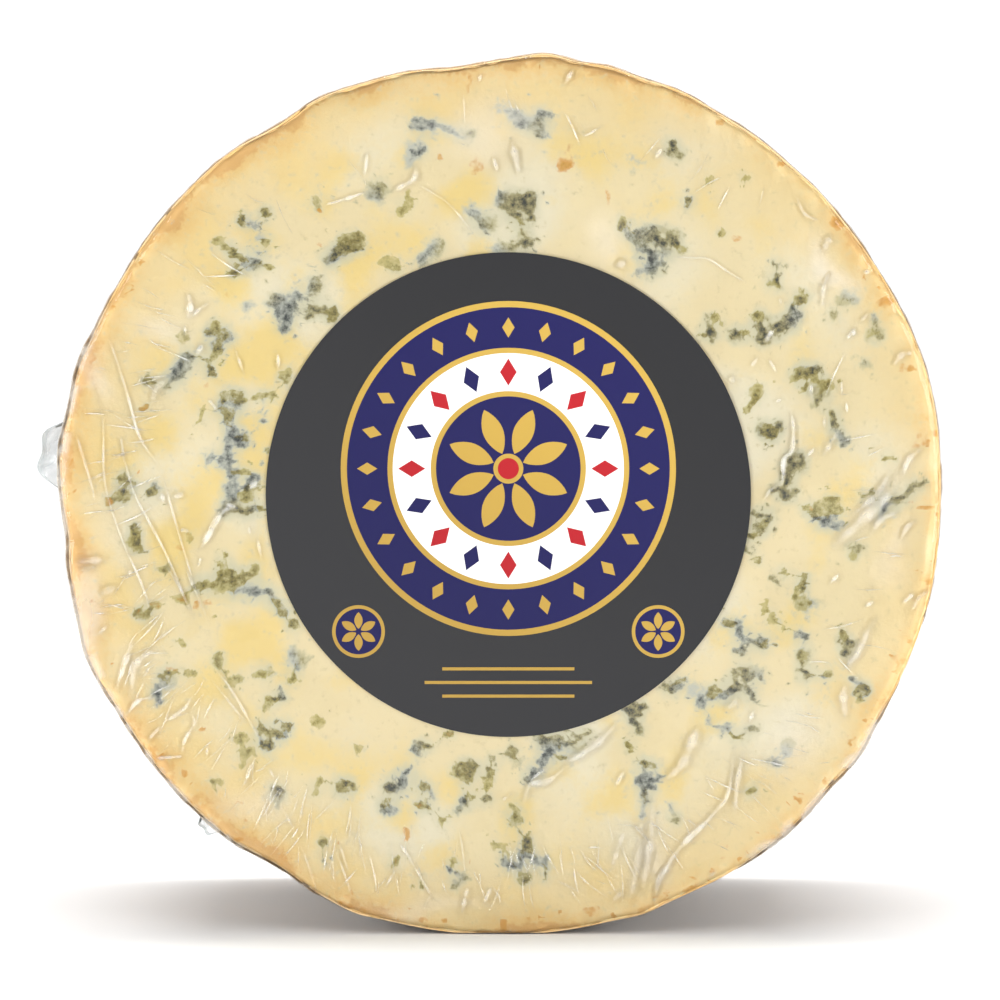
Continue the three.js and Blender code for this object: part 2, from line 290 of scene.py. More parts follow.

# %% [markdown]
# ## The paste
#
# The inside of a blue cheese is a pale cream paste, deeper yellow towards the rind. Steel
# needles let air into it while it ripens, and the mould grows where the air goes: along
# cracks between the curds, as crumbly blue-black lumps with grey-blue and olive edges.
#
# A scatter by chance would give mould, but not this wheel's mould. So the larger lumps are
# read off the photograph, in its pixels, and the label serves as the ruler: it is
# 485 pixels and 110 mm across. Each mark is an oval: where it is, half its length, half
# its width and its turn in degrees. Then come how dark, how blue and how olive it looks,
# from 0 to 1. Noise then makes the ovals ragged.

# %% Where the mould grows
LABEL_PIXELS = 485
PIXEL = 2 * LABEL_RADIUS / LABEL_PIXELS
AXIS_PIXEL = (500.4, 497.6)
MOULD_MARKS = (
    # Top left
    (242, 220, 4.5, 6, 0, 0.7, 0, 0.6), (267, 213, 4.5, 7, 60, 0.85, 0.3, 0.4),
    (254, 224, 9, 5, 0, 0.25, 0.4, 0), (259, 237, 7, 5, 0, 0.1, 0.35, 0),
    (267, 243, 5, 4, 0, 0.4, 0.2, 0.6), (219, 241, 8, 5, 10, 0.2, 0, 0.5),
    (225, 248, 6, 4, 0, 0.35, 0, 0.5), (234, 251, 4, 4, 0, 0.5, 0, 0.4),
    (243, 257, 6, 4, -35, 0.3, 0.4, 0.3), (252, 265, 9, 7, 0, 0.5, 0.7, 0),
    (259, 260, 5, 4, 0, 0.4, 0.5, 0), (270, 266, 4, 4, 0, 0.25, 0, 0.4), (235, 272, 5, 5, 0, 0.65, 0, 0.8),
    (317, 203, 10, 6, -60, 0.25, 0.4, 0.4), (332, 259, 9, 4, 35, 0.45, 0.6, 0.1),
    (315, 286, 10, 8, 40, 0.6, 0.7, 0.1), (297, 297, 7, 6, 0, 0.4, 0.5, 0),
    (281, 301, 10, 9, 0, 0.6, 0.6, 0), (286, 312, 11, 9, 0, 0.7, 0.6, 0), (292, 308, 6, 6, 0, 0.6, 0.3, 0),
    (285, 326, 7, 7, 0, 0.75, 0.5, 0), (271, 306, 5, 4, 0, 0.2, 0.4, 0), (306, 300, 3, 3, 0, 0.5, 0.2, 0),
    (312, 312, 7, 6, 0, 0.6, 0.6, 0), (321, 309, 6, 6, 0, 0.45, 0.6, 0), (333, 314, 7, 7, 0, 0.7, 0.3, 0.5),
    (248, 306, 7, 5, -80, 0.15, 0.4, 0), (216, 325, 6, 4, 0, 0.35, 0.1, 0.6),
    (209, 333, 5, 5, 0, 0.6, 0.5, 0.2), (223, 335, 9, 8, 0, 0.35, 0.6, 0.3),
    (228, 337, 5, 5, 0, 0.5, 0.4, 0), (216, 346, 8, 5, 0, 0.5, 0.5, 0.2),
    (183, 337, 6, 8, 0, 0.3, 0.1, 0.3),
    # Left
    (216, 353, 6, 7, 0, 0.45, 0, 0.6), (209, 362, 4, 4, 0, 0.5, 0, 0.3), (212, 371, 4, 6, 0, 0.8, 0, 0.3),
    (199, 358, 7, 2, -15, 0.35, 0.1, 0.3), (188, 356, 5, 5, 0, 0.5, 0.6, 0),
    (185, 365, 8, 6, 60, 0.5, 0.7, 0), (178, 373, 8, 8, 0, 0.6, 0.7, 0), (175, 379, 8, 4, 0, 0.6, 0.6, 0),
    (166, 387, 6, 2, 15, 0.5, 0.4, 0), (146, 380, 5, 5, 0, 0.6, 0.1, 0.6),
    (143, 408, 6, 3, 0, 0.45, 0, 0.4), (288, 372, 6, 5, 0, 0.2, 0.1, 0.5),
    (287, 379, 6, 5, 0, 0.3, 0.4, 0.4), (261, 396, 6, 4, 0, 0.2, 0.3, 0.5),
    (272, 396, 4, 4, 0, 0.3, 0.1, 0.5), (264, 420, 4, 3, 0, 0.4, 0.6, 0),
    (230, 396, 12, 5, 0, 0.5, 0.4, 0.4), (240, 399, 4, 5, 0, 0.6, 0.5, 0.2),
    (235, 404, 7, 5, 0, 0.4, 0.7, 0), (223, 405, 4, 6, 0, 0.4, 0.5, 0.1),
    (229, 412, 8, 6, 0, 0.5, 0.5, 0.3), (230, 421, 6, 5, 0, 0.5, 0.5, 0.2),
    (201, 414, 9, 3, 60, 0.2, 0, 0.5), (232, 430, 5, 6, 0, 0.5, 0.6, 0), (232, 439, 7, 8, 0, 0.6, 0.7, 0),
    (242, 441, 7, 8, 0, 0.7, 0.5, 0.1), (246, 437, 4, 4, 0, 0.4, 0.2, 0.3),
    (228, 454, 6, 10, 0, 0.6, 0.7, 0), (223, 461, 4, 6, 0, 0.4, 0.6, 0), (209, 459, 6, 4, 60, 0.5, 0.7, 0),
    (232, 471, 8, 5, 0, 0.45, 0.4, 0.1), (244, 472, 8, 4, 0, 0.2, 0.1, 0.4),
    (254, 479, 8, 5, 40, 0.6, 0.7, 0), (248, 485, 4, 5, 0, 0.6, 0.5, 0), (234, 481, 6, 8, 0, 0.3, 0.5, 0),
    (232, 491, 8, 8, 0, 0.4, 0.6, 0), (233, 501, 7, 7, 0, 0.6, 0.6, 0), (225, 510, 6, 4, 60, 0.6, 0.5, 0),
    (238, 510, 12, 5, 0, 0.5, 0.6, 0), (252, 511, 6, 4, 0, 0.6, 0.4, 0),
    (246, 497, 8, 6, 0, 0.15, 0.3, 0.4), (259, 509, 4, 3, 0, 0.4, 0.1, 0.6),
    (252, 490, 5, 5, 0, 0.1, 0.2, 0.4), (267, 452, 2, 5, 0, 0.2, 0.4, 0.3),
    (127, 479, 5, 4, 0, 0.6, 0, 0.5), (128, 483, 9, 5, 0, 0.4, 0.35, 0.4),
    (120, 496, 9, 6, 0, 0.6, 0.1, 0.6), (126, 499, 5, 4, 0, 0.4, 0, 0.4), (152, 495, 6, 6, 0, 0.75, 0, 0.5),
    (154, 486, 4, 6, 0, 0.3, 0.5, 0), (110, 501, 5, 5, 0, 0.35, 0, 0.5), (134, 528, 4, 4, 0, 0.8, 0, 0.4),
    (136, 541, 6, 9, 0, 0.7, 0, 0.7), (141, 550, 4, 4, 0, 0.6, 0, 0.4), (129, 541, 5, 6, 0, 0, 0.3, 0.3),
    (165, 569, 6, 6, 0, 0.5, 0, 0.5), (190, 537, 4, 5, 0, 0.2, 0, 0.5), (224, 554, 3, 3, 0, 0.4, 0, 0.5),
    (222, 566, 4, 4, 0, 0.4, 0, 0.5), (197, 586, 6, 4, 0, 0.5, 0, 0.5),
    (208, 585, 9, 3.5, 12, 0.55, 0, 0.7), (221, 578, 5, 7, 0, 0.6, 0, 0.6),
    (230, 574, 8, 5, 0, 0.6, 0, 0.6), (237, 580, 8, 5, 0, 0.5, 0, 0.7), (232, 585, 9, 4, 0, 0.4, 0, 0.6),
    (248, 575, 8, 4, 15, 0.4, 0, 0.7), (254, 570, 5, 5, 0, 0.4, 0, 0.7), (223, 590, 12, 5, 0, 0.1, 0, 0.6),
    (241, 589, 14, 5, 10, 0.2, 0.55, 0.1), (232, 595, 8, 4, 0, 0.1, 0.4, 0),
    (260, 593, 4.5, 3.5, 0, 1, 0.2, 0), (256, 592, 12, 5, 0, 0.6, 0.4, 0),
    (272, 596, 8, 3, -40, 0.3, 0.6, 0), (279, 604, 7, 5, -60, 0.3, 0.5, 0.3),
    (282, 613, 6, 6, 0, 0.35, 0.6, 0.3), (294, 626, 6, 5, -40, 0.6, 0.1, 0.7),
    (182, 598, 8, 6, 0, 0.1, 0, 0.5), (141, 615, 7, 5, 0, 0.7, 0, 0.7), (156, 605, 6, 4, 0, 0.25, 0, 0.5),
    (180, 644, 6, 4, -60, 0.2, 0, 0.5), (219, 662, 5, 6, 0, 0.35, 0, 0.5), (294, 653, 8, 8, 0, 0.2, 0.5, 0),
    # Bottom left
    (172, 672, 9, 4, 20, 0.6, 0.1, 0.4), (160, 677, 5, 4, 0, 0.6, 0.1, 0.3),
    (167, 683, 10, 8, 0, 0.15, 0.4, 0), (156, 693, 5, 8, 0, 0.7, 0.5, 0), (158, 702, 3, 5, 0, 0.6, 0.2, 0),
    (192, 674, 5, 4, 0, 0.15, 0, 0.5), (218, 663, 5, 7, 0, 0.4, 0, 0.6), (230, 683, 5, 6, 0, 0.2, 0, 0.6),
    (238, 679, 5, 6, 0, 0.1, 0.3, 0.4), (259, 674, 6, 5, 0, 0.1, 0.3, 0.3),
    (268, 673, 8, 4, 20, 0.15, 0.35, 0.3), (297, 661, 9, 10, 0, 0.15, 0.55, 0),
    (297, 671, 4, 3, 0, 0.5, 0.4, 0), (292, 679, 5, 4, 0, 0.2, 0.1, 0.5),
    (268, 699, 5, 5, 0, 0.3, 0.1, 0.6), (266, 708, 5, 5, 0, 0.2, 0, 0.4),
    (281, 698, 3.5, 5, 0, 0.75, 0.6, 0), (240, 739, 8, 7, 0, 0.25, 0, 0.6),
    (248, 755, 6, 5, 0, 0.2, 0, 0.6), (242, 762, 4, 6, 0, 0.1, 0, 0.6), (260, 729, 5, 5, 0, 0.6, 0, 0.5),
    (270, 733, 9, 5, 0, 0.3, 0.4, 0.5), (279, 735, 6, 4, 0, 0.7, 0.5, 0.1),
    (285, 726, 5, 5, 0, 0.7, 0, 0.4), (290, 724, 3, 3, 0, 0.5, 0, 0.2),
    (268, 746, 10, 6, 0, 0.85, 0.2, 0.4), (285, 738, 4, 3, 0, 0.4, 0.2, 0),
    (259, 744, 3, 6, 0, 0.2, 0.4, 0), (316, 722, 8, 7, 0, 0.1, 0, 0.5), (215, 782, 6, 4, 0, 0.25, 0, 0.7),
    (277, 792, 6, 6, 0, 0.75, 0.5, 0.2), (277, 802, 5, 6, 0, 0.1, 0.5, 0),
    (319, 782, 8, 4, 70, 0.2, 0, 0.5), (315, 793, 4, 5, 0, 0.2, 0, 0.5), (343, 788, 8, 7, 0, 0.5, 0.3, 0.4),
    (321, 844, 5, 6, 0, 0.35, 0.3, 0.5), (324, 863, 3.5, 4, 0, 0.6, 0.2, 0.1),
    # Top
    (421, 124, 13, 7, 0, 0.55, 0.6, 0), (435, 129, 8, 3, 10, 0.35, 0.5, 0),
    (448, 128, 8, 3, 0, 0.35, 0.5, 0), (459, 135, 7, 3, -25, 0.4, 0.5, 0), (471, 134, 7, 5, 0, 0.2, 0.5, 0),
    (421, 150, 5, 6, 0, 0.65, 0.3, 0), (414, 152, 12, 9, 30, 0.1, 0.5, 0),
    (408, 163, 8, 6, 60, 0.05, 0.35, 0), (504, 109, 14, 6, -15, 0.1, 0.35, 0),
    (515, 116, 10, 7, -20, 0.2, 0.5, 0), (521, 125, 8, 4, 0, 0.55, 0.3, 0),
    (533, 123, 12, 8, 0, 0.2, 0.55, 0), (540, 132, 8, 6, -30, 0.45, 0.5, 0),
    (545, 114, 12, 5, 0, 0.65, 0.4, 0), (380, 185, 6, 5, 0, 0.6, 0.3, 0.1),
    (377, 192, 12, 10, 0, 0.25, 0.6, 0), (379, 196, 4, 4, 0, 0.5, 0.2, 0),
    (409, 201, 5, 11, 0, 0.1, 0.1, 0.5), (402, 211, 8, 5, 30, 0.2, 0, 0.5),
    (352, 242, 13, 9, 20, 0.6, 0.1, 0.8), (357, 247, 6, 6, 0, 0.6, 0, 0.3),
    (341, 251, 9, 6, 20, 0.55, 0.5, 0.2), (330, 258, 9, 4, 30, 0.4, 0.6, 0),
    (437, 244, 7, 6, 0, 0.35, 0.5, 0), (432, 252, 10, 7, 0, 0.2, 0.5, 0), (422, 260, 6, 8, 0, 0.5, 0.5, 0),
    (390, 263, 13, 6, 0, 0.1, 0.1, 0.4), (398, 268, 6, 4, 0, 0.3, 0, 0.3), (529, 199, 7, 7, 0, 1, 0.2, 0),
    (528, 208, 8, 6, 0, 0.9, 0.3, 0), (515, 215, 11, 3.5, -28, 1, 0.2, 0),
    (504, 201, 12, 8, 15, 0.4, 0.6, 0), (517, 202, 10, 8, 0, 0.5, 0.7, 0), (533, 219, 6, 5, 0, 0.5, 0.4, 0),
    (521, 222, 6, 3, -30, 0.6, 0, 0.3), (479, 222, 13, 3, -48, 0.6, 0.6, 0),
    (488, 223, 9, 7, 0, 0.2, 0.6, 0), (472, 209, 11, 6, -30, 0.1, 0.35, 0),
    (526, 244, 9, 6, 0, 0.85, 0.4, 0), (504, 247, 14, 6, 0, 0.2, 0.6, 0), (522, 234, 7, 4, 0, 0.1, 0.4, 0),
    (563, 165, 6, 6, 0, 0.15, 0, 0.3), (621, 223, 4, 8, -20, 0.35, 0, 0.7),
    (626, 231, 11, 4, -30, 0.55, 0.2, 0.1), (641, 237, 13, 9, 0, 0.6, 0.6, 0),
    (635, 165, 10, 8, 0, 0.1, 0.3, 0),
    # Upper right
    (654, 236, 4, 5, 0, 0.9, 0.2, 0), (662, 242, 9, 4, -20, 1, 0.1, 0), (646, 251, 8, 4, -20, 0.9, 0.2, 0),
    (672, 236, 7, 6, 0, 0.35, 0.6, 0), (674, 243, 6, 6, 0, 0.8, 0.3, 0), (656, 230, 12, 5, 0, 0.15, 0.6, 0),
    (679, 250, 7, 5, 0, 0, 0.3, 0.35), (663, 252, 8, 5, 0, 0.2, 0.5, 0), (652, 255, 6, 4, 0, 0.8, 0.3, 0),
    (661, 262, 7, 4, 0, 0.6, 0.4, 0), (652, 266, 6, 7, 0, 0.7, 0.4, 0), (645, 271, 12, 6, 20, 0.4, 0.5, 0),
    (672, 143, 5, 4, 0, 0.8, 0.1, 0.1), (671, 149, 6, 4, 0, 0.6, 0.4, 0), (677, 155, 6, 4, 0, 0.35, 0.6, 0),
    (709, 181, 6, 4, 50, 0.15, 0, 0.5), (745, 178, 5, 3.5, 25, 0.15, 0, 0.7),
    (687, 203, 6, 3, 55, 0.75, 0, 0.3), (721, 234, 3.5, 5, 0, 0.2, 0, 0.6),
    (776, 264, 4, 2.5, 0, 0.85, 0.2, 0), (777, 279, 3.5, 5, 0, 0.65, 0.3, 0),
    (772, 286, 8, 4, 0, 0.3, 0.45, 0.3), (799, 299, 7, 6, 0, 0.5, 0.1, 0.6),
    (804, 297, 4, 4, 0, 0.4, 0, 0.5), (793, 308, 4, 6, 0, 0.75, 0.2, 0), (795, 315, 6, 6, 0, 0.6, 0.4, 0),
    (788, 321, 8, 6, 0, 0.7, 0.6, 0), (782, 327, 7, 5, 0, 0.5, 0.6, 0), (775, 326, 6, 4, 0, 0.2, 0.5, 0),
    (757, 317, 5, 5, 0, 0.5, 0.1, 0.5), (764, 319, 8, 4, 0, 0.15, 0.35, 0.1),
    (759, 328, 5, 6, 0, 0.6, 0.4, 0), (762, 335, 7, 8, 0, 0.65, 0.45, 0), (766, 341, 6, 5, 0, 0.4, 0.5, 0),
    (777, 330, 10, 5, 15, 0.5, 0.5, 0), (788, 326, 10, 4, 0, 0.5, 0.4, 0),
    (709, 319, 5, 6, 0, 0.35, 0.4, 0), (717, 316, 6, 4, 0, 0.15, 0, 0.5), (710, 330, 6, 7, 0, 0.65, 0.5, 0),
    (702, 335, 5, 4, 0, 0.4, 0.3, 0.3), (712, 340, 3, 5, 0, 0.45, 0.2, 0), (733, 332, 5, 4, 0, 0.6, 0.2, 0),
    (736, 336, 5, 5, 0, 0.65, 0.4, 0), (744, 334, 6, 3, 0, 0.4, 0, 0.6), (847, 297, 7, 6, 0, 0.15, 0.6, 0),
    (840, 301, 8, 6, 0, 0.05, 0.45, 0), (853, 299, 5, 5, 0, 0.1, 0.5, 0.1),
    (833, 316, 4, 5, 0, 0.3, 0.6, 0), (874, 317, 3.5, 5, 0, 0.35, 0.5, 0),
    (872, 333, 7, 6, 0, 0.1, 0.45, 0.2), (880, 334, 5, 7, 0, 0.1, 0.4, 0), (879, 339, 4, 4, 0, 0.4, 0.4, 0),
    (861, 360, 4, 5, 0, 0.25, 0.4, 0), (867, 366, 5, 5, -40, 0.15, 0.45, 0),
    # Right
    (806, 372, 11, 5, 0, 0.55, 0.2, 0.4), (818, 370, 5, 4, 0, 0.65, 0.2, 0),
    (798, 373, 6, 5, 0, 0.5, 0.1, 0.5), (793, 377, 7, 4, 0, 0.1, 0, 0.5),
    (806, 377, 8, 4, 0, 0.1, 0.1, 0.5), (806, 390, 4, 4, 0, 0.3, 0.1, 0.5),
    (821, 390, 7, 8, 0, 0.15, 0.8, 0.1), (818, 400, 4, 5, 0, 0.45, 0.6, 0),
    (829, 385, 6, 5, 0, 0.3, 0, 0.6), (814, 381, 5, 4, 0, 0.3, 0.1, 0.5), (757, 392, 7, 6, 0, 0.1, 0, 0.55),
    (758, 395, 4, 4, 0, 0.4, 0, 0.3), (745, 411, 4, 4, 0, 0.3, 0, 0.5),
    (832, 411, 3.5, 4.5, 0, 0.7, 0, 0.2), (833, 419, 4, 7, 0, 0.7, 0.4, 0),
    (834, 427, 4, 5, 0, 0.5, 0.5, 0), (839, 434, 5, 5, 0, 0.5, 0.5, 0), (846, 441, 5, 7, -45, 0.35, 0.5, 0),
    (770, 430, 8, 7, 0, 0.65, 0.2, 0.4), (779, 424, 5.5, 5, 30, 1, 0, 0.1),
    (772, 435, 5, 4, 0, 0.7, 0.1, 0.4), (762, 430, 6, 6, 0, 0.4, 0.6, 0),
    (889, 460, 8, 3, 10, 0.4, 0.1, 0.5), (795, 457, 7, 6, 0, 0.5, 0.7, 0), (793, 463, 5, 5, 0, 0.6, 0.6, 0),
    (802, 461, 5, 7, 0, 0.65, 0.5, 0), (788, 470, 8, 6, 0, 0.6, 0.6, 0), (800, 470, 6, 5, 0, 0.45, 0.4, 0),
    (787, 480, 4.5, 4, 0, 0.9, 0.2, 0), (784, 491, 6, 6, 0, 0.75, 0.5, 0), (785, 497, 6, 4, 0, 0.8, 0.3, 0),
    (775, 489, 5, 5, 0, 0.4, 0.5, 0), (793, 493, 5, 5, 0, 0.5, 0.4, 0), (806, 508, 4.5, 4, 0, 0.5, 0, 0.7),
    (812, 515, 5, 4, -40, 0.7, 0, 0.5), (818, 520, 6, 3.5, -40, 1, 0, 0.1),
    (827, 519, 6, 6, 0, 0.75, 0.3, 0), (826, 508, 13, 8, 0, 0.3, 0.05, 0.55),
    (833, 501, 8, 5, 0, 0.2, 0, 0.5), (839, 510, 6, 6, 0, 0.2, 0.1, 0.4), (829, 525, 5, 3, 0, 0.5, 0.2, 0),
    (840, 526, 9, 5, 0, 0.2, 0.4, 0), (871, 493, 4, 3, 0, 0.4, 0, 0.4),
    (861, 496, 3.5, 2.5, 0, 0.5, 0, 0.4), (887, 508, 8, 4, 38, 0.65, 0.6, 0),
    (895, 501, 9, 5, 38, 0.8, 0.4, 0), (907, 492, 9, 4, 38, 0.75, 0.3, 0),
    (916, 489, 6, 4, 30, 0.4, 0.2, 0), (925, 483, 5, 3, 38, 0.8, 0, 0), (882, 512, 6, 4, 38, 0.2, 0.5, 0),
    (755, 512, 4, 4, 0, 0.6, 0.2, 0), (762, 515, 8, 2.5, -15, 0.75, 0.2, 0),
    (770, 519, 5, 4, -20, 0.75, 0.3, 0), (764, 524, 8, 7, 0, 0.2, 0.5, 0.2),
    (755, 526, 4, 5, 0, 0.35, 0.3, 0), (762, 530, 7, 3, 30, 0.5, 0.3, 0),
    (753, 537, 6, 3, 0, 0.7, 0.1, 0.3), (748, 548, 3, 4, 0, 0.3, 0.4, 0), (858, 548, 7, 5, 0, 0.45, 0.6, 0),
    (851, 550, 3, 4, 0, 0.4, 0.3, 0), (853, 557, 6, 5, 0, 0.05, 0.4, 0.3),
    (758, 561, 4, 5, 0, 0.4, 0.3, 0.3), (786, 570, 4, 5, 0, 0.5, 0, 0.5), (775, 579, 8, 5, 0, 0.35, 0.4, 0),
    (803, 579, 3, 7, 0, 0.55, 0.1, 0.5), (804, 586, 3.5, 7, 0, 0.65, 0.2, 0.3),
    (795, 593, 4, 6, 0, 0.2, 0, 0.4), (802, 604, 11, 9, 0, 0.15, 0.4, 0.3),
    (815, 604, 9, 8, 0, 0.15, 0.4, 0), (766, 606, 4, 6, 0, 0.15, 0, 0.5),
    (772, 619, 5, 6, 0, 0.25, 0.1, 0.5), (728, 622, 6, 5, 0, 0.6, 0.2, 0.3),
    (740, 624, 6, 5, 0, 0.3, 0.5, 0), (739, 632, 5, 5, 0, 0.65, 0.3, 0),
    (746, 640, 6, 5, -30, 0.75, 0.2, 0), (757, 642, 8, 3.5, 0, 0.8, 0.1, 0),
    (766, 646, 6, 4, -20, 0.7, 0.1, 0.3), (740, 651, 7, 3, 0, 0.75, 0.2, 0),
    (784, 628, 3, 5, 0, 0.3, 0.1, 0.5), (802, 637, 7, 5, 0, 0.7, 0.4, 0),
    (804, 653, 8, 7, 0, 0.25, 0.4, 0.1), (844, 636, 6, 4, 0, 0.7, 0.1, 0.4),
    (850, 646, 5, 6, 0, 0.55, 0.5, 0), (846, 654, 6, 5, 0, 0.8, 0.5, 0),
    # Lower right
    (672, 688, 10, 6, 0, 0.7, 0.4, 0), (679, 681, 10, 6, 0, 0.3, 0.4, 0.2),
    (663, 687, 5, 4, 0, 0.5, 0.2, 0), (695, 692, 10, 9, 0, 0.15, 0.45, 0), (702, 703, 5, 6, 0, 0.7, 0.4, 0),
    (715, 692, 8, 6, 0, 0.5, 0.2, 0.4), (710, 697, 6, 4, 0, 0.5, 0.2, 0.1),
    (724, 697, 6, 3, 20, 0.6, 0.2, 0), (736, 688, 9, 3.5, 25, 1, 0.2, 0), (728, 692, 5, 3, 20, 0.8, 0.2, 0),
    (735, 678, 4, 7, 0, 0.55, 0.2, 0), (743, 672, 8, 4, 0, 0.5, 0.4, 0), (748, 678, 7, 5, 0, 0.6, 0.5, 0),
    (757, 671, 7, 7, 0, 0.1, 0.45, 0), (762, 675, 4, 5, 0, 0.35, 0.4, 0),
    (750, 692, 7, 4, -55, 0.85, 0.2, 0), (754, 700, 5, 4, -50, 0.8, 0.1, 0),
    (803, 657, 8, 8, 0, 0.25, 0.5, 0.2), (804, 673, 8, 2.5, -10, 1, 0.1, 0),
    (807, 677, 3, 4, 0, 0.6, 0.3, 0), (828, 673, 7, 4, 0, 0.4, 0.1, 0.5), (823, 677, 5, 3, 0, 0.35, 0.2, 0),
    (852, 679, 4, 4, 0, 0.5, 0.3, 0), (861, 685, 5, 3.5, -50, 0.7, 0.1, 0),
    (866, 691, 5, 3.5, -40, 0.9, 0, 0.4), (858, 700, 3.5, 5, 0, 0.25, 0, 0.5),
    (726, 729, 6, 5, 0, 0.35, 0.5, 0), (709, 722, 4, 3, 0, 0.4, 0.4, 0), (753, 730, 6, 4, 0, 0.55, 0.4, 0),
    (736, 737, 8, 2, -15, 0.3, 0.3, 0.3), (788, 748, 6, 9, 0, 0.15, 0.65, 0),
    (772, 764, 8, 5, 0, 0.45, 0.4, 0), (782, 763, 5, 4, 0, 0.3, 0.4, 0), (753, 793, 6, 4, 0, 0.6, 0, 0.7),
    (672, 811, 5, 3.5, -65, 0.35, 0.6, 0), (677, 821, 4, 3.5, 0, 0.45, 0.5, 0),
    # Bottom
    (357, 750, 4.5, 5.5, 0, 0.2, 0, 0.6), (347, 788, 10, 5, 0, 0.45, 0.4, 0.4),
    (416, 751, 4.5, 7, 0, 1, 0, 0), (430, 748, 6, 3.5, 0, 0.85, 0, 0.2), (423, 746, 5, 3, 0, 0.6, 0.1, 0),
    (409, 772, 8, 3.5, 75, 0.7, 0.5, 0), (404, 781, 7, 5, 60, 0.55, 0.8, 0),
    (396, 788, 11, 5, 15, 0.85, 0.6, 0), (389, 786, 5, 5, 0, 0.6, 0.4, 0),
    (386, 802, 7, 4, 65, 0.5, 0.4, 0.3), (383, 811, 3, 8, 0, 0.45, 0.4, 0),
    (392, 811, 5, 6, 0, 0.4, 0.6, 0), (424, 788, 7, 4, -50, 0.55, 0.4, 0.3),
    (432, 797, 6, 4, -60, 0.2, 0.35, 0), (420, 806, 7, 3, -15, 0.3, 0, 0.7),
    (427, 807, 5, 2.5, 0, 0.7, 0, 0.2), (442, 821, 4.5, 3.5, 0, 0.45, 0, 0.6),
    (464, 773, 10, 9, 0, 0.35, 0.1, 0.65), (471, 769, 4, 7, 0, 0.85, 0, 0.1),
    (466, 781, 8, 4, 0, 0.4, 0, 0.4), (457, 766, 5, 3, 0, 0.4, 0, 0.5), (449, 734, 5, 3.5, 50, 0.3, 0, 0.7),
    (493, 758, 4, 3.5, 0, 0.75, 0.2, 0), (489, 771, 5, 3, -20, 0.65, 0.1, 0.4),
    (512, 753, 7, 4, 0, 0.75, 0.1, 0.2), (518, 762, 8, 8, 0, 0.05, 0.3, 0),
    (488, 784, 4, 8, 0, 0.2, 0, 0.5), (486, 800, 5, 4, 0, 0.7, 0.5, 0), (464, 804, 6, 5, 0, 0.65, 0.4, 0),
    (459, 812, 4, 5, 0, 0.45, 0.5, 0), (470, 799, 5, 4, 0, 0.3, 0, 0.3), (546, 743, 7, 5, 0, 0.9, 0.3, 0),
    (555, 739, 7, 4, 0, 0.7, 0.5, 0), (539, 740, 4, 4, 0, 0.6, 0.2, 0), (549, 753, 4, 8, 0, 0.95, 0.2, 0),
    (544, 760, 9, 4, 30, 0.8, 0.3, 0), (535, 775, 9, 4, 50, 0.7, 0.6, 0), (530, 781, 6, 3, 50, 0.5, 0.4, 0),
    (562, 759, 7, 3, -15, 0.5, 0, 0.4), (557, 748, 7, 4, 0, 0.3, 0.6, 0),
    (564, 744, 6, 2.5, 0, 0.7, 0.3, 0), (573, 743, 6, 2.5, 15, 0.7, 0.3, 0),
    (582, 738, 6, 2.5, 30, 0.75, 0.2, 0), (587, 735, 5, 2.5, 30, 0.75, 0.1, 0),
    (575, 750, 10, 4, 15, 0, 0.5, 0), (513, 808, 7, 3, -60, 0.3, 0.2, 0.4),
    (515, 822, 7, 8, 0, 0.3, 0.5, 0.4), (527, 844, 4, 9, -15, 0.6, 0, 0.5),
    (524, 856, 4.5, 8, -10, 0.9, 0.1, 0.1), (506, 864, 6, 4.5, -30, 0.85, 0.2, 0),
    (515, 867, 6, 2.5, 0, 0.55, 0.3, 0), (520, 865, 5, 4, 0, 0.6, 0.2, 0),
    (500, 846, 8, 3.5, 0, 0.1, 0, 0.5), (539, 862, 7, 7, 0, 0.4, 0.55, 0), (542, 865, 4, 6, 0, 0.6, 0.3, 0),
    (546, 878, 3, 4, 0, 0.6, 0, 0.5), (524, 880, 7, 6, 0, 0.35, 0.35, 0.4),
    (634, 710, 8, 9, 0, 0.9, 0.5, 0), (625, 709, 6, 5, 0, 0.7, 0.3, 0), (642, 706, 7, 4, 0, 0.75, 0.3, 0),
    (634, 720, 4, 6, 0, 0.85, 0.3, 0), (640, 731, 4, 7, 0, 0.4, 0.6, 0), (629, 746, 4, 3, 0, 0.6, 0, 0.5),
    (646, 766, 7, 5, 0, 0.7, 0.3, 0.3), (641, 764, 4, 3, 0, 0.5, 0.2, 0.1), (646, 782, 9, 7, 0, 1, 0.1, 0),
    (649, 788, 6, 4, 0, 0.8, 0.2, 0), (657, 779, 4, 6, 0, 0.7, 0.2, 0), (653, 766, 6, 4, 0, 0.3, 0.2, 0.2),
    (645, 797, 4, 8, 0, 0.4, 0.6, 0.1), (644, 811, 4, 10, 0, 0.3, 0.6, 0),
    (394, 863, 8, 3.5, 75, 0.3, 0, 0.6), (420, 884, 4, 4, 0, 0.35, 0, 0.5),
    (453, 864, 3, 5, 0, 0.2, 0, 0.6), (452, 871, 4, 4, 0, 0.85, 0, 0), (463, 878, 7, 6, 0, 0.2, 0.4, 0),
    (454, 886, 4, 4, 0, 0.5, 0.5, 0),
)
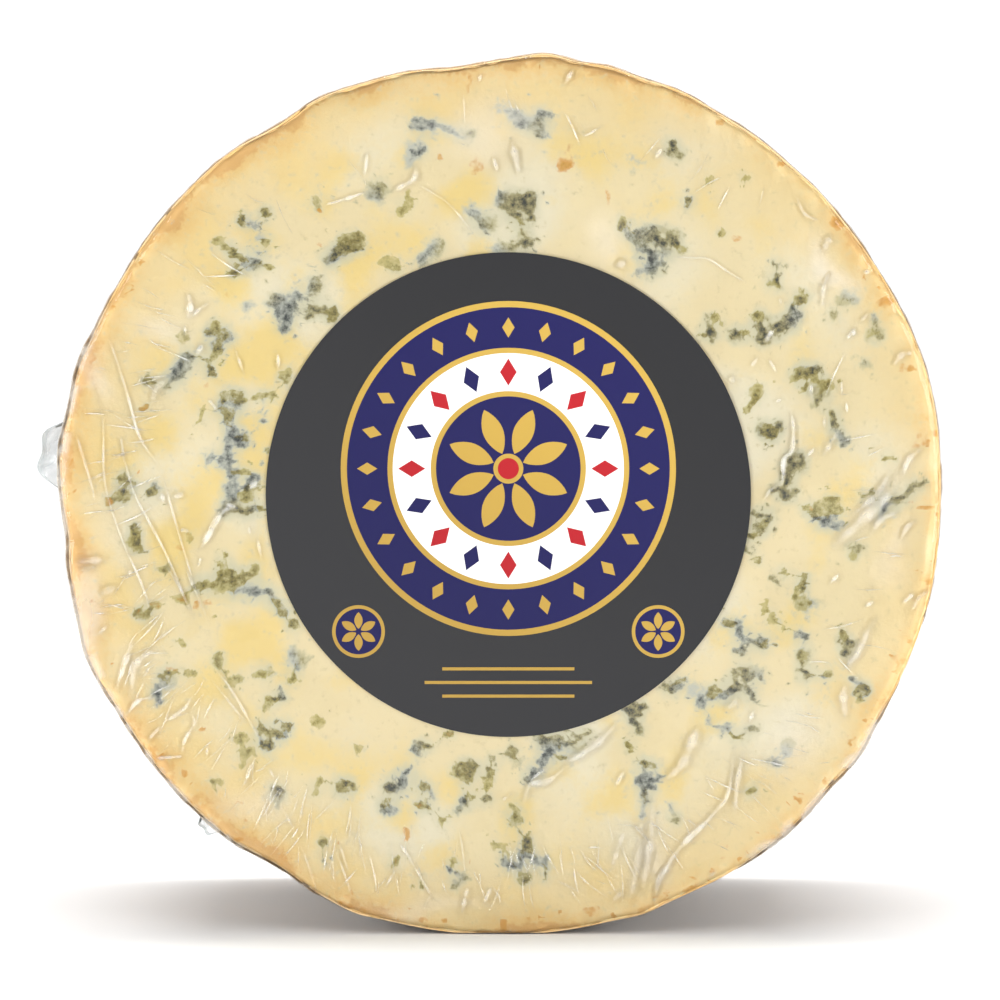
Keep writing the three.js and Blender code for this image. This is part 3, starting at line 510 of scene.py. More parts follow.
# Small rusty and brown stains: x, y, half length across, half length up, strength.
RUST_MARKS = (
    (321, 210, 4, 3, 0.7), (319, 242, 6, 3, 0.4), (228, 295, 4, 3, 0.6), (143, 408, 6, 3, 0.6),
    (207, 386, 4, 4, 0.4), (110, 501, 5, 5, 0.6), (139, 472, 2, 2, 0.8), (190, 537, 4, 5, 0.4),
    (180, 550, 4, 4, 0.4), (182, 598, 8, 6, 0.3), (196, 605, 4, 4, 0.8), (210, 602, 8, 4, 0.3),
    (141, 615, 7, 5, 0.3), (156, 605, 6, 4, 0.4), (172, 669, 9, 3, 0.5), (211, 793, 3, 2, 0.4),
    (185, 774, 3.5, 3.5, 0.8), (202, 731, 4, 3, 0.7), (209, 719, 3, 3, 0.3), (238, 804, 5, 3, 0.35),
    (245, 821, 3, 3, 0.5), (283, 860, 6, 6, 0.35), (297, 847, 5, 4, 0.3), (245, 851, 5, 2, 0.7),
    (237, 843, 5, 3, 0.8), (224, 836, 4, 2, 0.6), (190, 805, 4, 3, 0.7), (154, 757, 4, 9, 0.5),
    (150, 748, 4, 6, 0.4), (340, 844, 2, 3, 0.4), (406, 836, 3, 5, 0.9), (409, 848, 2, 5, 0.3),
    (394, 863, 3, 6, 0.3), (420, 806, 7, 3, 0.3), (449, 734, 4, 3, 0.3), (470, 863, 2, 8, 0.5),
    (422, 921, 5, 4, 0.8), (443, 923, 5, 4, 0.7), (503, 926, 5, 5, 0.7), (459, 934, 5, 2, 0.4),
    (539, 930, 6, 3, 0.3), (582, 930, 6, 3, 0.5), (591, 913, 8, 5, 0.5), (660, 897, 8, 3, 0.4),
    (350, 907, 5, 3, 0.6), (362, 913, 6, 3, 0.4), (440, 157, 4, 4, 0.5), (477, 166, 7, 9, 0.5),
    (563, 165, 7, 7, 0.9), (570, 152, 9, 14, 0.2), (468, 85, 3, 14, 0.4), (480, 76, 10, 6, 0.3),
    (607, 197, 3, 11, 0.3), (736, 238, 7, 4, 0.4), (721, 122, 5, 4, 0.8), (757, 138, 10, 3, 0.6),
    (784, 164, 5, 4, 0.9), (836, 223, 7, 5, 1), (885, 302, 8, 5, 0.9), (745, 178, 4, 3, 0.3),
    (907, 367, 11, 5, 0.5), (936, 434, 6, 5, 0.8), (920, 437, 9, 7, 0.3), (918, 446, 9, 3, 0.4),
    (909, 501, 11, 2, 0.5), (925, 509, 8, 3, 0.8), (938, 515, 4, 3, 0.5), (927, 580, 8, 4, 0.6),
    (916, 572, 9, 2, 0.4), (900, 660, 10, 6, 0.4), (899, 670, 3, 5, 0.5), (846, 744, 9, 7, 0.2),
    (728, 846, 5, 5, 0.3), (692, 891, 8, 4, 0.7), (704, 890, 6, 3, 0.8), (812, 509, 4, 4, 0.4),
)
print(len(MOULD_MARKS), "mould marks and", len(RUST_MARKS), "stains")


# %% [markdown]
# The marks become numbers at the points of the mesh. A mark's strength falls off at its
# edge, and marks that meet add up like thin coats of paint, so they never pass 1.

# %% Turn marks into fields
THREAD_REACH = 26
THREAD_HALF_WIDTH = 1.3
# The film veils the face a little, so growth that was read through it is made stronger.
UNDER_FILM = 1.12
RIM_FLECKS = 240
FLECK_RADII = (95.5, 99.6)
HALO_PIXELS = 14


def spots(x, z, behind=0.0):
    """Places on the wheel as one array of x, z and the distance behind the cut."""
    return np.stack(np.broadcast_arrays(x, z, behind), axis=-1)


def rough(points, size):
    """Soft random bumps from about -1 to 1, where size is how wide one is in millimetres.

    Points that are moved by a number get other bumps of the same size.
    """
    flat = np.asarray(points, float).reshape(-1, 3) / size
    values = np.array([noise.noise(Vector(point)) for point in flat])
    return values.reshape(np.shape(points)[:-1])


def from_photo(across, down):
    """A pixel of the photograph as millimetres right of and above the axis."""
    return (across - AXIS_PIXEL[0]) * PIXEL, (AXIS_PIXEL[1] - down) * PIXEL


def stain(coats, x, z, mark, strengths, soft=(1.5, 0.45)):
    """Takes one mark out of what is still clear in each coat.

    Its edge is soft: the mark fades out from soft[1] to soft[0] times its own size.
    """
    across, down, long, *more = mark
    wide = more[0] if more else long
    turn = math.radians(more[1]) if len(more) > 1 else 0
    middle_x, middle_z = from_photo(across, down)
    reach = soft[0] * max(long, wide) * PIXEL
    near = np.nonzero((abs(x - middle_x) < reach) & (abs(z - middle_z) < reach))
    dx = x[near] - middle_x
    dz = z[near] - middle_z
    along = (dx * math.cos(turn) + dz * math.sin(turn)) / (long * PIXEL)
    aside = (dz * math.cos(turn) - dx * math.sin(turn)) / (wide * PIXEL)
    amount = 1 - ease(np.hypot(along, aside), soft[1], soft[0])
    for coat, strength in zip(coats, strengths):
        coat[near] *= 1 - strength * amount


def crumbs_near(marks, draw):
    """A few small specks round each large mark, as crumbs of the same growth."""
    for across, down, long, _, _, *tints in marks:
        for _ in range(3 if long > 3 else 1):
            away = long * draw.uniform(1.1, 2.6)
            turn = draw.uniform(0, math.tau)
            place = (across + away * math.cos(turn), down + away * math.sin(turn))
            size = draw.uniform(1.2, 2.6)
            yield (*place, size, size * draw.uniform(0.5, 1)), [0.7 * tint for tint in tints]


def threads_between(marks):
    """Thin veins of growth from each mark to its nearest neighbours, along a crack in the curd."""
    for mark in marks:
        across, down, _, _, _, *tints = mark
        gaps = sorted((math.hypot(across - other[0], down - other[1]), *other[:2]) for other in marks)
        # The first of them is the mark itself.
        for gap, to_across, to_down in gaps[1:3]:
            if gap < THREAD_REACH:
                middle = ((across + to_across) / 2, (down + to_down) / 2)
                turn = math.degrees(math.atan2(down - to_down, to_across - across))
                thread = (*middle, gap / 2, THREAD_HALF_WIDTH, turn)
                yield thread, [0.45 * tint + 0.06 for tint in tints]


def rim_flecks(draw):
    """Short rusty streaks that run in from the rind, mostly at the left and the foot."""
    for _ in range(RIM_FLECKS):
        angle = draw.choice((draw.uniform(150, 335), draw.uniform(0, 360)))
        radius = draw.uniform(*FLECK_RADII) / PIXEL
        place = (
            AXIS_PIXEL[0] + radius * math.cos(math.radians(angle)),
            AXIS_PIXEL[1] - radius * math.sin(math.radians(angle)),
        )
        size = (draw.uniform(1.5, 5), draw.uniform(1, 2.4))
        yield (*place, *size, angle + draw.uniform(-60, 60)), draw.uniform(0.25, 0.9)


def mould_fields(x, z):
    """Dark, blue, olive, rust and the halo of the growth, from 0 to 1, at points of the cut face."""
    flat = spots(x, z)
    sway_x = 0.9 * rough(flat, 3.2) + 0.45 * rough(flat + 50, 1.1)
    sway_z = 0.9 * rough(flat + 100, 3.2) + 0.45 * rough(flat + 150, 1.1)
    x = x + sway_x
    z = z + sway_z
    coats = [np.ones_like(x) for _ in range(5)]
    for *mark, dark, blue, olive in MOULD_MARKS:
        stain(coats[:3], x, z, mark, [min(1, UNDER_FILM * tint) for tint in (dark, blue, olive)])
    for mark, strengths in crumbs_near(MOULD_MARKS, random.Random(5)):
        stain(coats[:3], x, z, mark, strengths)
    for mark, strengths in threads_between(MOULD_MARKS):
        stain(coats[:3], x, z, mark, strengths, soft=(1.6, 0.2))
    for mark, strength in rim_flecks(random.Random(8)):
        stain(coats[3:4], x, z, mark, [strength], soft=(1.6, 0.2))
    for across, down, long, wide, strength in RUST_MARKS:
        stain(coats[3:4], x, z, (across, down, long, wide), [strength], soft=(1.7, 0.3))
    for across, down, long, _, _, *tints in MOULD_MARKS:
        strength = min(0.9, 0.4 * sum(tints))
        stain(coats[4:], x, z, (across, down, long + HALO_PIXELS), [strength], soft=(1, 0))
    return {name: 1 - coat for name, coat in zip(("dark", "blue", "olive", "rust", "halo"), coats)}


print(f"A pixel is {PIXEL:.3f} mm, and threads join marks up to {THREAD_REACH * PIXEL:.1f} mm apart")

# %% [markdown]
# The face has rings only half a millimetre apart, so that the lumps can be real hollows:
# crumbly mould lies a little lower than the smooth paste round it. Under the label, where
# nothing shows, the rings are far apart.

# %% Shape the paste
PASTE_STEPS = 900
RIND_THICKNESS = 2
CLOUD_SIZE = 24
PATCH_SIZE = 9
FAR_BELOW = 1.6
FACE_RINGS = 92
HIDDEN_BACK_RADII = np.array([60.0, 25.0])


def looseness(angle):
    """Where the wrap stands off the rind, from 0 to 1: at the left and at the lower right."""
    left = ease(degrees_from(angle, 150), 0, 12) * (1 - ease(degrees_from(angle, 250), -12, 0))
    right = ease(degrees_from(angle, 300), 0, 8) * (1 - ease(degrees_from(angle, 335), -8, 0))
    return np.maximum(left, right)


def film_margin(angle):
    """How far the rind keeps inside the film."""
    return 0.25 + 0.55 * looseness(angle)


def on_circle(angle, radius):
    """x and z at an angle in degrees and a radius."""
    turn = np.radians(angle)
    return radius * np.cos(turn), radius * np.sin(turn)


def rind_line(angle):
    """The thickness of rind that shows round the cut face."""
    point = spots(*on_circle(angle, WHEEL_RADIUS))
    return np.maximum(0.4 + 0.3 * rough(point, 9) + 0.25 * rough(point + 300, 3), 0.12)


def steps_round(count):
    """Equal steps round the axis, in degrees, from the foot of the wheel."""
    return -90 + 360 * np.arange(count) / count


def half_section(side_rings, edge_rings, back_radii):
    """Plain radius and depth behind the cut, down the side, round the edge and over the back."""
    side_end = WHEEL_DEPTH - RIND_EDGE_RADIUS
    edge_turn = np.linspace(0, math.pi / 2, edge_rings)
    middle = WHEEL_RADIUS - RIND_EDGE_RADIUS
    radius = [np.full(side_rings, WHEEL_RADIUS), middle + RIND_EDGE_RADIUS * np.cos(edge_turn), back_radii]
    behind = [
        np.linspace(CUT_EDGE_RADIUS, side_end, side_rings, endpoint=False),
        side_end + RIND_EDGE_RADIUS * np.sin(edge_turn),
        np.full(len(back_radii), WHEEL_DEPTH),
    ]
    return np.concatenate(radius)[:, None], np.concatenate(behind)[:, None]


def paste_patterns(fields, flat, to_rind):
    """What the finish needs at each point: clouds, nearness to the rind, and kinds of growth.

    Each kind is pushed far below 0 where there is none of it, so that the fine noise of the
    finish can't raise it there. The paste is paler to the right and yellower to the left.
    """
    dark, blue, olive, rust = (fields[name] for name in ("dark", "blue", "olive", "rust"))
    rightward = flat[..., 0] / WHEEL_RADIUS
    patch = rough(flat + 230, PATCH_SIZE) + 0.35 * rightward
    return {
        "cloud": rough(flat + 200, CLOUD_SIZE) + 0.15 * rightward,
        "patch": patch,
        "from_rind": to_rind + 4 * patch,
        "halo": fields["halo"],
        "bloom": np.maximum(blue, 0.8 * dark),
        "growth": 0.9 * dark + 0.15 * blue - FAR_BELOW * (1 - ease(dark, 0.02, 0.22)),
        "olive": 0.85 * olive - FAR_BELOW * (1 - ease(olive, 0.04, 0.26)),
        "rust": rust - FAR_BELOW * (1 - ease(rust, 0.02, 0.22)),
    }


def paste_piece():
    """The paste as one closed solid, with its patterns stored at its points."""
    angle = steps_round(PASTE_STEPS)[None, :]
    shares = np.concatenate([[0.15, 0.3, 0.42], np.linspace(0.51, 1, FACE_RINGS)])[:, None]
    edge = rim_radius(angle, 0, WHEEL_RADIUS, film_margin(angle)) - rind_line(angle)
    radius = shares * edge
    x, z = on_circle(angle, radius)
    fields = mould_fields(x, z)
    flat = spots(x, z)
    uneven = 0.25 + 0.22 * rough(flat, 8) + 0.1 * rough(flat + 30, 2.2)
    seen = ease(radius, LABEL_RADIUS - 3, LABEL_RADIUS + 2)
    crumbly = fields["dark"] * (0.55 + 0.5 * rough(flat + 70, 1.3))
    behind = -face_relief(angle, radius) + seen * (uneven + 0.7 * np.maximum(crumbly, 0))
    patterns = paste_patterns(fields, flat, edge - radius)

    side_radius, side_behind = half_section(side_rings=7, edge_rings=4, back_radii=HIDDEN_BACK_RADII)
    side = rim_radius(angle, side_behind, side_radius, RIND_THICKNESS)
    side_behind = np.minimum(side_behind, WHEEL_DEPTH - RIND_THICKNESS) + 0 * side
    side_x, side_z = on_circle(angle, side)
    x = np.concatenate([x, side_x])
    z = np.concatenate([z, side_z])
    behind = np.concatenate([behind, side_behind])
    stored = {name: np.concatenate([row, np.zeros_like(side)]) for name, row in patterns.items()}
    return turned_skin("cheese_paste", x, z, behind, stored)


paste = paste_piece()
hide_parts("wheel_in_film")

# %% [markdown]
# ## The finish of the paste
#
# Paste is a moist fat, cut smooth by a wire, so it has a soft sheen under the film. Its
# colour runs from pale cream in the middle to straw yellow and then orange at the rind, in
# cloudy patches. One noise of fine crumbs breaks up the stored patterns: where a growth is
# strong it is nearly solid, and at its edges only specks are left.

# %% Paint the paste
CRUMB_SIZE = 1.7
# Each stored pattern, and how far the crumbs push it up and down.
PASTE_PATTERNS = (
    ("cloud", 0.3), ("patch", 0.5), ("from_rind", 6), ("halo", 0.3), ("bloom", 1.2),
    ("olive", 2.4), ("growth", 2.9), ("rust", 1.6),
)


def paste_finish():
    """Cream paste of a ripe blue cheese, cut smooth and moist."""
    finish, tree = new_finish("ripe_cheese_paste")
    place = add(tree, "ShaderNodeTexCoord").outputs["Object"]
    lumps = {"Vector": place, "Scale": 1 / (CRUMB_SIZE * MM), "Detail": 3, "Roughness": 0.62}
    crumb = add(tree, "ShaderNodeTexNoise", lumps).outputs["Fac"]
    ragged = add(tree, "ShaderNodeMath", {0: crumb, 1: 0.5}, operation="SUBTRACT").outputs[0]
    at = {}
    for name, raggedness in PASTE_PATTERNS:
        stored = add(tree, "ShaderNodeAttribute", attribute_name=name).outputs["Fac"]
        broken = {0: ragged, 1: raggedness, 2: stored}
        at[name] = add(tree, "ShaderNodeMath", broken, operation="MULTIPLY_ADD").outputs[0]

    greenish = (at["patch"], -0.2, 0.3, 1)
    fringe = layered(tree, "8F948C", ((*greenish, "968C5C"), (at["olive"], -0.6, 0.3, 1, "93874C")))
    pale_bloom = layered(tree, "CBCEC4", ((*greenish, "CDC69C"),))
    paint = layered(tree, "F3E5BC", (
        # Cream, paler in slow clouds, yellower towards the rind and orange where they meet.
        (at["cloud"], -0.15, 0.3, 1, "F3EBD0"),
        (at["patch"], 0.1, -0.7, 0.9, "F5DF97"),
        (at["from_rind"], 20, 3, 0.75, "F5DFA6"),
        (crumb, 0.55, 0.8, 0.2, "E9CD88"),
        (at["from_rind"], 6, 0, 0.7, "F1CE86"),
        (at["from_rind"], 1.4, -0.4, 0.6, "DDAC68"),
        # Round the growth the paste turns cool, with a pale bloom over it.
        (at["halo"], 0.05, 0.65, 0.85, "E0DDC2"),
        (at["bloom"], 0.05, 0.6, 0.9, pale_bloom),
        (at["olive"], -0.5, 0.5, 0.75, "C0B46A"),
        # The crumbs: olive-brown or grey at their edges and blue-black inside.
        (at["olive"], 0.35, 1.0, 0.75, "948640"),
        (at["growth"], 0.05, 0.85, 0.75, fringe),
        (at["growth"], 0.6, 1.35, 0.9, "343B3D"),
        (at["rust"], 0.1, 0.8, 0.8, "DCA245"),
        (at["rust"], 0.8, 1.3, 0.75, "A06C2A"),
    ))

    relief = add(tree, "ShaderNodeBump", {"Height": crumb, "Strength": 0.4, "Distance": 0.4 * MM})
    surface = add(tree, "ShaderNodeBsdfPrincipled", {
        "Base Color": paint,
        "Roughness": 0.5,
        "IOR": 1.45,
        "Normal": relief.outputs[0],
    })
    add(tree, "ShaderNodeOutputMaterial", {"Surface": surface.outputs[0]})
    return finish


paste.data.materials.append(paste_finish())
print("The paste's finish has", len(paste.data.materials[0].node_tree.nodes), "nodes")

# %% [markdown]
# ## The rind
#
# The rind is the wheel's own skin, dried hard and wrinkled, buff to grey-brown with rusty
# patches, and pierced by rows of needle holes. It is a shell about 2 mm thick that wraps
# the side and the back. Seen from the front it is only a fine brown line round the paste.

# %% Shape the rind
RIND_STEPS = 720
NEEDLE_SPACING = 15
DUST_SIZE = 2.4


def rind_piece():
    """The rind as one closed shell: up its inner side, over the cut edge, and down the outer."""
    angle = steps_round(RIND_STEPS)[None, :]
    margin = film_margin(angle)
    back_radii = np.linspace(WHEEL_RADIUS - RIND_EDGE_RADIUS, 4, 22)[1:]
    plain, depth = half_section(side_rings=58, edge_rings=9, back_radii=back_radii)
    outer = rim_radius(angle, depth, plain, margin)
    point = spots(*on_circle(angle, outer), depth)
    creased = 1 - abs(rough(point * (1, 1, 0.6), 7)) * 2.4
    wrinkle = 0.5 * np.clip(creased, 0, 1) ** 2 + 0.35 * np.clip(rough(point + 90, 3.5), -1, 1)
    sunk = (0.45 + wrinkle) * ease(depth, 1, 8)
    on_back = ease(depth, WHEEL_DEPTH - RIND_EDGE_RADIUS, WHEEL_DEPTH - 1)
    outer = outer - sunk * (1 - on_back)
    outer_depth = depth - (0.3 + sunk) * on_back

    cut_outer = rim_radius(angle, 0, WHEEL_RADIUS, margin)
    cut_inner = cut_outer - rind_line(angle) - 0.3
    inner_plain, inner_depth = half_section(side_rings=4, edge_rings=4, back_radii=HIDDEN_BACK_RADII)
    inner = rim_radius(angle, inner_depth, inner_plain, RIND_THICKNESS + 0.05)[::-1]
    inner_depth = np.minimum(inner_depth, WHEEL_DEPTH - RIND_THICKNESS - 0.05)[::-1] + 0 * inner

    cut_middle = cut_outer - 0.5 * rind_line(angle)
    rows = [inner, cut_inner, cut_inner + 0.15, cut_middle, cut_outer - 0.08, cut_outer, outer]
    depths = [inner_depth, 0.9, 0.6, 0.3, 0.42, 0.8, outer_depth]
    radius = np.concatenate([row + np.zeros_like(angle) for row in rows])
    behind = np.concatenate([row + np.zeros_like(rows[i]) for i, row in enumerate(depths)])
    x, z = on_circle(angle, radius)
    skin = spots(x, z, behind)
    fields = {
        "around": np.radians(angle) * WHEEL_RADIUS + np.zeros_like(radius),
        "behind_cut": behind,
        "hollow": np.concatenate([np.zeros_like(radius[: -len(sunk)]), sunk]),
        "loose": looseness(angle) + np.zeros_like(radius),
        "cloud": rough(skin, 30),
        "blotch": rough(skin + 40, 9) + 0.5 * rough(skin + 80, 4),
    }
    return turned_skin("cheese_rind", x, z, behind, fields)


rind = rind_piece()
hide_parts("wheel_in_film")

# %% [markdown]
# The colours of the rind follow its shape: dust and pale mould lie in the hollows, and the
# ridges are rubbed brown. Near the cut edge the rind is pale, and it is painted paler still
# as painted light against the shade on the side seen at a slant. The needle holes are dark
# dots of painted shade, a cell pattern laid over the distance round the wheel and the
# distance behind the cut, both stored at the points in millimetres.

# %% Paint the rind


def rind_finish():
    """Dry, mottled rind, with painted shade for its needle holes and painted light near the cut."""
    finish, tree = new_finish("dry_mottled_rind")
    place = add(tree, "ShaderNodeTexCoord").outputs["Object"]
    at = {}
    for name in ("around", "behind_cut", "hollow", "loose", "cloud", "blotch"):
        at[name] = add(tree, "ShaderNodeAttribute", attribute_name=name).outputs["Fac"]
    grains = {"Vector": place, "Scale": 1 / (DUST_SIZE * MM), "Detail": 5, "Roughness": 0.65}
    dust = add(tree, "ShaderNodeTexNoise", grains).outputs["Fac"]
    dusted = {0: dust, 1: 2.4, 2: at["blotch"]}
    blotch = add(tree, "ShaderNodeMath", dusted, operation="MULTIPLY_ADD").outputs[0]
    in_hollow = add(tree, "ShaderNodeMath", {0: dust, 1: at["hollow"]}, operation="MULTIPLY").outputs[0]
    loose_dust = add(tree, "ShaderNodeMath", {0: dust, 1: at["loose"]}, operation="ADD").outputs[0]
    unrolled = add(tree, "ShaderNodeCombineXYZ", {0: at["around"], 1: at["behind_cut"]}).outputs[0]
    # The needle holes are not cut into the mesh: this cell pattern paints the shade inside them.
    rows = {"Vector": unrolled, "Scale": 1 / NEEDLE_SPACING, "Randomness": 0.6}
    holes = add(tree, "ShaderNodeTexVoronoi", rows, voronoi_dimensions="2D").outputs["Distance"]

    # The band near the cut: the rind's pale cut edge, painted paler still as painted light against the
    # shade on the side seen at a slant.
    cut = layered(tree, "E6C592", (
        (loose_dust, 0.5, 1.1, 1, "EAD3AA"),
        (blotch, 1.2, 1.6, 0.8, "E0B470"),
        (dust, 0.54, 0.66, 0.65, "B4986E"),
    ))
    paint = layered(tree, "BF9A68", (
        (at["cloud"], -0.2, 0.25, 1, "A68A66"),
        (blotch, 1.3, 1.8, 0.7, "CDA266"),
        (blotch, 1.1, 0.7, 0.75, "8B6A48"),
        (in_hollow, 0.25, 0.6, 0.8, "D8C6A2"),
        (dust, 0.55, 0.68, 0.55, "9A8F7C"),
        (dust, 0.4, 0.28, 0.6, "6B5138"),
        # Within 9 mm of the cut the rind takes that band: its own pale edge plus painted light.
        (at["behind_cut"], 9, 2.5, 1, cut),
        # Needle holes: dark dots of painted shade.
        (holes, 0.085, 0.04, 0.75, "4A3826"),
    ))
    relief = add(tree, "ShaderNodeBump", {"Height": dust, "Strength": 0.7, "Distance": 0.8 * MM})
    surface = add(tree, "ShaderNodeBsdfPrincipled", {
        "Base Color": paint,
        "Roughness": 0.8,
        "IOR": 1.45,
        "Normal": relief.outputs[0],
    })
    add(tree, "ShaderNodeOutputMaterial", {"Surface": surface.outputs[0]})
    return finish


rind.data.materials.append(rind_finish())
print("The needle holes are about", NEEDLE_SPACING, "mm apart")

# %% [markdown]
# ## The clear film
#
# The wheel is wrapped in clear food film, drawn tight over the cut face and gathered into
# pleats behind. A film is thinner than any mesh needs, so it is one closed clear skin just
# outside the cheese. It follows the same hollows, with fine waves of its own where it is
# pulled towards the gather.

# %% Shape the film
FILM_STEPS = 640
FILM_CLEARANCE = 0.2
# Where the film is milky on the face, in pixels of the photograph, and how much.
MILKY_PATCHES = (
    (480, 135, 85, 50, 0, 0.6), (600, 245, 42, 55, 0, 0.6), (835, 268, 26, 60, 35, 0.8),
    (84, 620, 26, 90, -6, 0.9), (98, 380, 22, 50, 0, 0.7), (790, 745, 45, 55, 0, 0.6),
    (160, 330, 50, 30, 0, 0.5), (250, 800, 60, 35, -40, 0.5), (660, 850, 26, 60, 10, 0.6),
    (890, 560, 30, 60, 0, 0.5), (430, 905, 110, 16, -5, 0.5),
)


def film_face(x, z):
    """How far behind the cut face the film lies there. It is a little in front, so below 0."""
    angle = np.degrees(np.arctan2(z, x))
    return -FILM_CLEARANCE - face_relief(angle, np.hypot(x, z))


def pull_lines(angle, behind):
    """Fine ridges of film pulled back along the side, about 0.3 mm high."""
    around = np.radians(angle) * WHEEL_RADIUS
    fine = np.sin(around / 2.3 + 1.5 * np.sin(around / 17)) + np.sin(around / 3.7 + behind / 30)
    return 0.16 * np.maximum(fine, 0) * ease(behind, 4, 40)


def film_side(angle, behind):
    """The film's radius down the side of the wheel."""
    lines = pull_lines(angle, behind) * off_foot(angle, 6, 14)
    return rim_radius(angle, behind, WHEEL_RADIUS, 0) + lines - 0.15


def crinkled(angle, radius, behind):
    """The same film with fine crinkles, always outwards: out of the face, and off the rim and side."""
    point = spots(*on_circle(angle, radius), behind)
    fine = np.clip(0.5 + rough(point, 5) + 0.8 * rough(point + 60, 2.6), 0, 1.5)
    on_front = ease(behind, 1.5, 0) * ease(radius, LABEL_RADIUS + 1, LABEL_RADIUS + 6)
    near_rim = ease(radius, 94, 99)
    on_round = ease(behind, 0, 1.5) * ease(radius, 80, 90) * off_foot(angle, 5, 12)
    return radius + 0.25 * fine * on_round, behind - (0.06 + 0.22 * near_rim) * fine * on_front


def film_piece():
    """The film as one closed skin, with how cloudy it is stored at its points."""
    angle = steps_round(FILM_STEPS)[None, :]
    face_edge = WHEEL_RADIUS - CUT_EDGE_RADIUS
    face_plain = np.concatenate([[15, 30, 45], np.linspace(56, face_edge, 34)])[:, None]
    face = face_plain * rim_radius(angle, 0, face_edge, 0) / face_edge
    face_behind = film_face(*on_circle(angle, face))
    bend = np.linspace(0, math.pi / 2, 6)[1:, None]
    bend_plain = face_edge + CUT_EDGE_RADIUS * np.sin(bend)
    bend_behind = CUT_EDGE_RADIUS * (1 - np.cos(bend)) - FILM_CLEARANCE * np.cos(bend)
    bent = rim_radius(angle, 0, bend_plain, 0)
    back_radii = np.linspace(WHEEL_RADIUS - RIND_EDGE_RADIUS, 2.5, 44)[1:]
    plain, depth = half_section(side_rings=40, edge_rings=10, back_radii=back_radii)
    outer = rim_radius(angle, depth, plain, 0)
    on_side = ease(WHEEL_DEPTH - depth, 0, RIND_EDGE_RADIUS)
    outer = outer + (film_side(angle, depth) - rim_radius(angle, depth, WHEEL_RADIUS, 0)) * on_side
    outer_behind = depth + back_relief(angle, outer) * (depth > WHEEL_DEPTH - 1)

    radius = np.concatenate([face, bent, outer])
    behind = np.concatenate([face_behind, bend_behind + np.zeros_like(bent), outer_behind])
    radius, behind = crinkled(angle, radius, behind)
    x, z = on_circle(angle, radius)
    point = spots(x, z, behind)
    clear = np.ones_like(x)
    sway = 5 * rough(point, 14)
    for *patch, strength in MILKY_PATCHES:
        stain([clear], x + sway, z + sway, patch, [strength], soft=(1.2, 0))
    cloud = rough(point * (1, 1, 0.5), 20) + 0.7 * rough(point, 6)
    unseen = 0.7 * ease(cloud, 0, 0.9) * ease(behind, 2, 12)
    mottled = np.clip(0.6 + 1.4 * rough(point + 90, 2.4), 0, 1)
    stood_off = looseness(angle) * ease(radius, 97.6, 99.4) * ease(behind, 14, 3) * mottled
    cloudy = np.maximum(np.maximum(1 - clear, unseen), stood_off)
    return turned_skin("clear_film", x, z, behind, {"haze": cloudy})


film = film_piece()
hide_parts("wheel_in_film")
